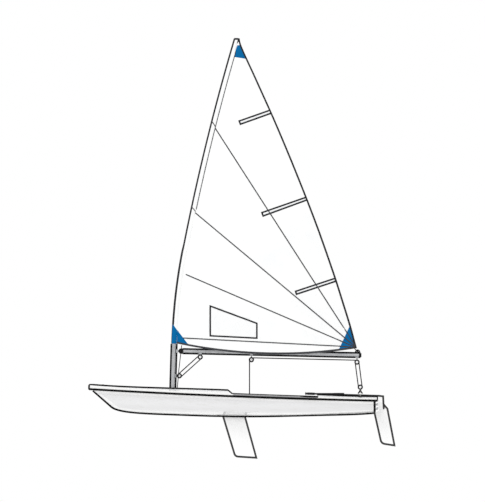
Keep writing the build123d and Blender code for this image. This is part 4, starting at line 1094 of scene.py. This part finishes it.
# Spar trims and running rigging
rigging = {
    "mastStripEnds": (0.324, 0.964),
    "stripRadius": 0.0115,
    "stripLift": 0.0095,
    "boom": ((-0.927, 0.8571), (1.691, 0.7973)),  # the axis's ends
    "boomRadius": 0.0254,
    "capInset": 0.022,
    # radius and height along the boom
    "noseRows": [
        (0.006, -0.064), (0.026, -0.060), (0.036, -0.048),
        (0.041, -0.028), (0.042, -0.004), (0.040, 0.004),
    ],
    "endRows": [(0.036, 0.0), (0.043, 0.002), (0.044, 0.008), (0.044, 0.018), (0.042, 0.023), (0.004, 0.024)],
    "sheetRadius": 0.008,
    "controlRadius": 0.006,
    "lashingRadius": 0.0034,
    "lashingWidth": 0.009,
    "archRadius": 0.0105,
    "linkRadius": 0.0095,
    "grooveRadius": 0.0275,
    "blockRadius": 0.034,
    # the body that carries each block: those of the rig hang, those of the hull stand
    "blocks": {
        "mainsheet_mid_block": "rig",
        "mainsheet_aft_block": "rig",
        "mainsheet_lower_block": "hull",
        "ratchet_block": "hull",
        "vang_upper_block": "rig",
        "vang_lower_block": "rig",
    },
    "vangBlocks": {"vang_upper_block": (-0.654, 0.7709), "vang_lower_block": (-0.9592, 0.496)},
    # angles at which a line meets and leaves each sheave; those of the vang are from its own line
    "wraps": {"aft": (5, 90), "mid": (90, 178), "lower": (-4, -176), "ratchet": (182, 330)},
    "vangWraps": [(84, -84), (-96, -176)],
    "tackEye": pictured(181.7, 345.2),
    "downhaulSide": 0.053,
    # x and z, and how far out, where each downhaul bends at the gooseneck and ends at the deck
    "downhaulBend": ((-0.969, 0.559), (-0.970, 0.54)),
    "downhaulEnd": (-0.988, 0.030, 0.322),
    "clewEye": pictured(354.4, 348.6),
    "outhaulEnd": (1.676, 0.036),  # x, and height over the boom's axis
    "outhaulArch": (0.044, 0.029),  # height over the boom's axis, and radius
    "travellerArch": (0.234, 0.028),
    "travellerLink": (0.260, 0.284),
}


def boomHeight(x):
    (x0, z0), (x1, z1) = rigging["boom"]
    return z0 + (z1 - z0) * (x - x0) / (x1 - x0)


def blockCentre(name):
    if name in rigging["vangBlocks"]:
        x, height = rigging["vangBlocks"][name]
        return Vector((x, 0, height))
    low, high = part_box(name)
    hangs, radius = rigging["blocks"][name] == "rig", rigging["blockRadius"]
    return Vector(((low[0] + high[0]) / 2, 0, low[2] + radius if hangs else high[2] - radius))


def laySparTrims():
    # guide strips fore and aft of the mast and over and under the boom, and a cap on each end of the boom
    lift, radius, slot = rigging["stripLift"], rigging["stripRadius"], "black_fittings"
    mastRadius = sail["mastRadii"][0][1]
    for label, side in (("Fore", -1), ("Aft", 1)):
        heights = spread(*rigging["mastStripEnds"], 20)
        run = [(mastAxis(height) + side * (mastRadius + lift), 0, height) for height in heights]
        tube(f"mastStrip{label}", run, radius, "trim", "rig", slot)
    front, back = (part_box("boom")[end][0] for end in (0, 1))
    for label, side in (("Top", 1), ("Foot", -1)):
        places = spread(front + 0.02, back - 0.02, 30)
        run = [(x, 0, boomHeight(x) + side * (rigging["boomRadius"] + lift)) for x in places]
        tube(f"boomStrip{label}", run, radius, "trim", "rig", slot)
    along = Vector((back - front, 0, boomHeight(back) - boomHeight(front))).normalized()
    front, back = front + rigging["capInset"], back - rigging["capInset"]
    for name, x, rows in (("boomNoseCap", front, "noseRows"), ("boomEndCap", back, "endRows")):
        shape = turned((x, 0, boomHeight(x)), along, rigging[rows], 28)
        pieceFrom(name, *shape, "blackNylon", "rig", slot)


def makeMainsheet():
    groove, radius = rigging["grooveRadius"], rigging["sheetRadius"]
    mid, aft, low = (blockCentre(f"mainsheet_{place}_block") for place in ("mid", "aft", "lower"))
    ratchet, wraps = blockCentre("ratchet_block"), rigging["wraps"]
    alongBoom = (
        arcRun((aft.x, aft.z), groove, *wraps["aft"], 8)
        + straightRun((aft.x, 0, aft.z + groove), (mid.x, 0, mid.z + groove), 20)[1:-1]
        + arcRun((mid.x, mid.z), groove, *wraps["mid"], 8)
    )
    tube("mainsheetAlongBoom", alongBoom, radius, "rope", "rig", "rope", 12)
    aftFall = (
        straightRun((aft.x + groove, 0, aft.z), (low.x + groove, 0, low.z), 24)
        + arcRun((low.x, low.z), groove, *wraps["lower"], 12)
        + straightRun((low.x - groove, 0, low.z), (aft.x - groove, 0, aft.z), 24)
    )
    falls = tube("mainsheetAftFalls", aftFall, radius, "rope", None, "rope", 12)
    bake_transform(falls)
    forwardFall = straightRun((mid.x - groove, 0, mid.z), (ratchet.x - groove, 0, ratchet.z), 40)
    forwardFall += arcRun((ratchet.x, ratchet.z), groove, *wraps["ratchet"], 12)
    fall = tube("mainsheetCockpitFall", forwardFall, radius, "rope", None, "rope", 12)
    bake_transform(fall)


def makeControlLines():
    groove, radius = rigging["grooveRadius"], rigging["controlRadius"]
    upper, lower = (blockCentre(name) for name in rigging["vangBlocks"])
    along = (upper - lower).normalized()
    across = Vector((-along.z, 0, along.x)) * groove
    tilt = math.degrees(math.atan2(along.z, along.x))
    (upperStart, upperEnd), (lowerStart, lowerEnd) = rigging["vangWraps"]
    vang = (
        straightRun(lower + across, upper + across, 10)
        + arcRun((upper.x, upper.z), groove, tilt + upperStart, tilt + upperEnd, 10)
        + straightRun(upper - across, lower - across, 10)
        + arcRun((lower.x, lower.z), groove, tilt + lowerStart, tilt + lowerEnd, 6)
    )
    tube("vangLine", vang, rigging["sheetRadius"], "rope", "rig", "rope", 10)
    tackX, tackHeight = rigging["tackEye"]
    for number, side in ((1, -1), (2, 1)):
        out = side * rigging["downhaulSide"]
        (x0, z0), (x1, z1) = rigging["downhaulBend"]
        endX, endY, endHeight = rigging["downhaulEnd"]
        downhaul = straightRun((tackX, out, tackHeight), (x0, out, z0), 8)
        downhaul += straightRun((x1, out, z1), (endX, side * endY, endHeight), 8)
        line = tube(f"downhaulLine{number}", downhaul, radius, "rope", None, "rope", 10)
        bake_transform(line)
    eye, (clewX, clewHeight) = boxCentre("outhaul_eye"), rigging["clewEye"]
    clew = Vector((clewX, 0, clewHeight))
    lashing = []
    for angle in spread(0, 6 * math.pi, 48):
        place = clew.lerp(Vector((eye.x, 0, eye.z + 0.004)), 0.5 - 0.5 * math.cos(angle))
        lashing.append(place + Vector((0, rigging["lashingWidth"] * math.sin(angle), 0)))
    tube("clewLashing", lashing, rigging["lashingRadius"], "rope", "rig", "rope")
    endX, lift = rigging["outhaulEnd"]
    outhaul = straightRun(clew, (endX, 0, boomHeight(endX) + lift), 6)
    tube("outhaulLine", outhaul, radius, "rope", "rig", "rope", 10)
    lift, archRadius = rigging["outhaulArch"]
    arch = arcRun((eye.x, boomHeight(eye.x) + lift), archRadius, -10, 190, 16)
    tube("outhaulArch", arch, rigging["archRadius"], "blackNylon", "rig", "black_fittings", 12)
    ring = boxCentre("traveller_ring")
    height, archRadius = rigging["travellerArch"]
    arch = arcRun((ring.x, height), archRadius, 0, 180, 16)
    tube("travellerArch", arch, rigging["archRadius"], "blackNylon", "hull", "black_fittings", 12)
    link = straightRun(*((ring.x, 0, height) for height in rigging["travellerLink"]), 3)
    tube("travellerLink", link, rigging["linkRadius"], "blackNylon", "hull", "black_fittings", 12)


laySparTrims()
makeMainsheet()
makeControlLines()
print("running rigging led")

# Small hardware: rows of radius and height
hardware = {
    "cheekHeight": 0.0015,
    "cheekRows": [(0.0395, -0.0015), (0.0395, 0.0005), (0.0385, 0.0015), (0.012, 0.0015)],
    "capRows": [(0.0175, 0.0), (0.0175, 0.0012), (0.0163, 0.002), (0.005, 0.0022)],
    "rivetRows": [(0.0045, 0.002), (0.0042, 0.0034), (0.0026, 0.0046), (0.0006, 0.005)],
    "screwRows": [(0.0042, -0.0004), (0.0042, 0.0006), (0.0032, 0.0018), (0.0012, 0.0022), (0.0003, 0.001)],
    "bungRows": [
        (0.019, -0.001), (0.019, 0.003), (0.017, 0.005),
        (0.010, 0.0055), (0.009, 0.010), (0.0006, 0.0105),
    ],
    "bungPlace": (-0.16, -0.005),  # y and z on the transom
}
# where screws go, as shares of a fitting's box across the way that they are driven
inRow = [(0.12, 0.5), (0.26, 0.5), (0.74, 0.5), (0.88, 0.5)]
roundEye = [(0.5, 0.12), (0.5, 0.88), (0.12, 0.5), (0.88, 0.5)]
atCorners = [(0.1, 0.2), (0.9, 0.2), (0.1, 0.8), (0.9, 0.8)]
screwed = {
    "gudgeon_lower": inRow,
    "gudgeon_upper": inRow,
    "fairlead_port": roundEye,
    "fairlead_starboard": roundEye,
    "bow_eye": [(0.1, 0.5), (0.9, 0.5)],
    "control_line_cleats": atCorners,
    "bailer": atCorners,
    "hiking_strap": [(0.015, 0.25), (0.015, 0.75), (0.985, 0.25), (0.985, 0.75)],
}


def makeBlockFaces():
    # a cheek, the sheave's bearing cap and its rivet on each side of every block
    for name, body in rigging["blocks"].items():
        low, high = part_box(name)
        cheeks, caps, rivets = [], [], []
        for side in (-1, 1):
            out = Vector((0, side, 0))
            middle = blockCentre(name) + out * (high[1] - low[1]) / 2
            raised = middle + out * hardware["cheekHeight"]
            cheeks.append(turned(middle, out, hardware["cheekRows"], 32))
            caps.append(turned(raised, out, hardware["capRows"], 32))
            rivets.append(turned(raised, out, hardware["rivetRows"], 20))
        label = labelOf(name)
        pieceFrom(f"blockCheek{label}", *joined(cheeks), "blackNylon", body, "black_fittings", smooth=False)
        pieceFrom(f"sheaveCap{label}", *joined(caps), "whiteNylon", body, "black_fittings", smooth=False)
        pieceFrom(f"sheaveRivet{label}", *joined(rivets), "steel", body, "steel_fittings")


def driveScrews():
    # pan-headed screws where rays meet a fitting's flat face: forwards at the stern, and else down
    for name, shares in screwed.items():
        tree = nodeTree(name)
        low, high = (Vector(corner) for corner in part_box(name))
        axis = 0 if name.startswith("gudgeon") else 2
        direction = Vector([-1 if index == axis else 0 for index in range(3)])
        others = [index for index in range(3) if index != axis]
        heads = []
        for place in shares:
            start = (low + high) / 2 - direction * ((high - low).length + 0.1)
            for index, share in zip(others, place):
                start[index] = low[index] + (high[index] - low[index]) * share
            hit, normal = tree.ray_cast(start, direction)[:2]
            if hit is not None and abs(normal.dot(direction)) > 0.9:
                heads.append(turned(hit, -direction, hardware["screwRows"], 16))
        print("screws", name, len(heads))
        if heads:
            pieceFrom(f"screws{labelOf(name)}", *joined(heads), "steel", "hull", "steel_fittings")


def plugDrain():
    # the drain's bung, low on the port side of the transom
    y, height = hardware["bungPlace"]
    place = castRun(trees["hull"], [((cadBox[1][0] + 1, y, height), (-1, 0, 0))])[0]
    shape = turned(place, (1, 0, 0), hardware["bungRows"], 28)
    pieceFrom("drainBung", *shape, "blackNylon", "hull", "black_fittings")


makeBlockFaces()
driveScrews()
plugDrain()
print("hardware fitted")

# Floor at the waterline, light and camera
stageLook = {
    "floorSize": 60.0,
    "floorColour": colour(250, 250, 250),
    "floorShade": colour(244, 245, 246),
    "worldStrength": 0.95,
    # travel direction, strength and spread of each lamp
    "lamps": {"keyLamp": ((0.45, 0.75, -0.65), 0.45, 25.0), "backLamp": ((-0.5, -0.8, -0.6), 0.2, 40.0)},
}


def makeStage():
    size = stageLook["floorSize"]
    mesh = bpy.data.meshes.new("paleFloor")
    corners = [(-size, -size, 0), (size, -size, 0), (size, size, 0), (-size, size, 0)]
    mesh.from_pydata(corners, [], [(0, 1, 2, 3)])
    floor = bpy.data.objects.new("paleFloor", mesh)
    bpy.context.collection.objects.link(floor)
    finish = Finish("paleFloor", {"Roughness": 0.9})
    finish.paint(finish.noise(finish.place(), 0.8), stageLook["floorColour"], stageLook["floorShade"])
    mesh.materials.append(finish.material)
    floor.visible_shadow = False
    floor.visible_diffuse = False
    floor.visible_glossy = False


def makeLight():
    world = bpy.context.scene.world or bpy.data.worlds.new("studio")
    bpy.context.scene.world = world
    world.use_nodes = True
    graph = Graph(world.node_tree)
    path = graph.add("ShaderNodeLightPath", {}, {})
    kinds = ("Is Camera Ray", "Is Glossy Ray", "Is Transmission Ray")
    seen, glossy, through = (Field(graph, path.socket.node.outputs[kind]) for kind in kinds)
    white, ambient = (
        graph.add("ShaderNodeBackground", {}, {"Color": (1, 1, 1, 1), "Strength": strength})
        for strength in (1.0, stageLook["worldStrength"])
    )
    mixed = graph.add("ShaderNodeMixShader", {}, [seen.larger(glossy).larger(through), ambient, white])
    graph.add("ShaderNodeOutputWorld", {}, {"Surface": mixed}, None)
    for name, (direction, strength, angle) in stageLook["lamps"].items():
        lamp = bpy.data.lights.new(name, "SUN")
        lamp.energy = strength
        lamp.angle = math.radians(angle)
        lampObject = bpy.data.objects.new(name, lamp)
        lampObject.rotation_euler = Vector(direction).to_track_quat("-Z", "Y").to_euler()
        bpy.context.collection.objects.link(lampObject)


def makeCamera():
    camera = bpy.data.cameras.new("sideCamera")
    camera.type = "ORTHO"
    camera.ortho_scale = view["imageHeight"] * view["metresPerPixel"]
    camera.clip_end = view["clipEnd"]
    x, height = pictured(view["imageWidth"] / 2, view["imageHeight"] / 2)
    cameraObject = bpy.data.objects.new("sideCamera", camera)
    cameraObject.location = (x, -view["distance"], height)
    cameraObject.rotation_euler = (math.radians(90), 0, 0)
    bpy.context.collection.objects.link(cameraObject)
    bpy.context.scene.camera = cameraObject


makeStage()
makeLight()
makeCamera()
bpy.context.scene.view_settings.view_transform = "Standard"
print("stage set")
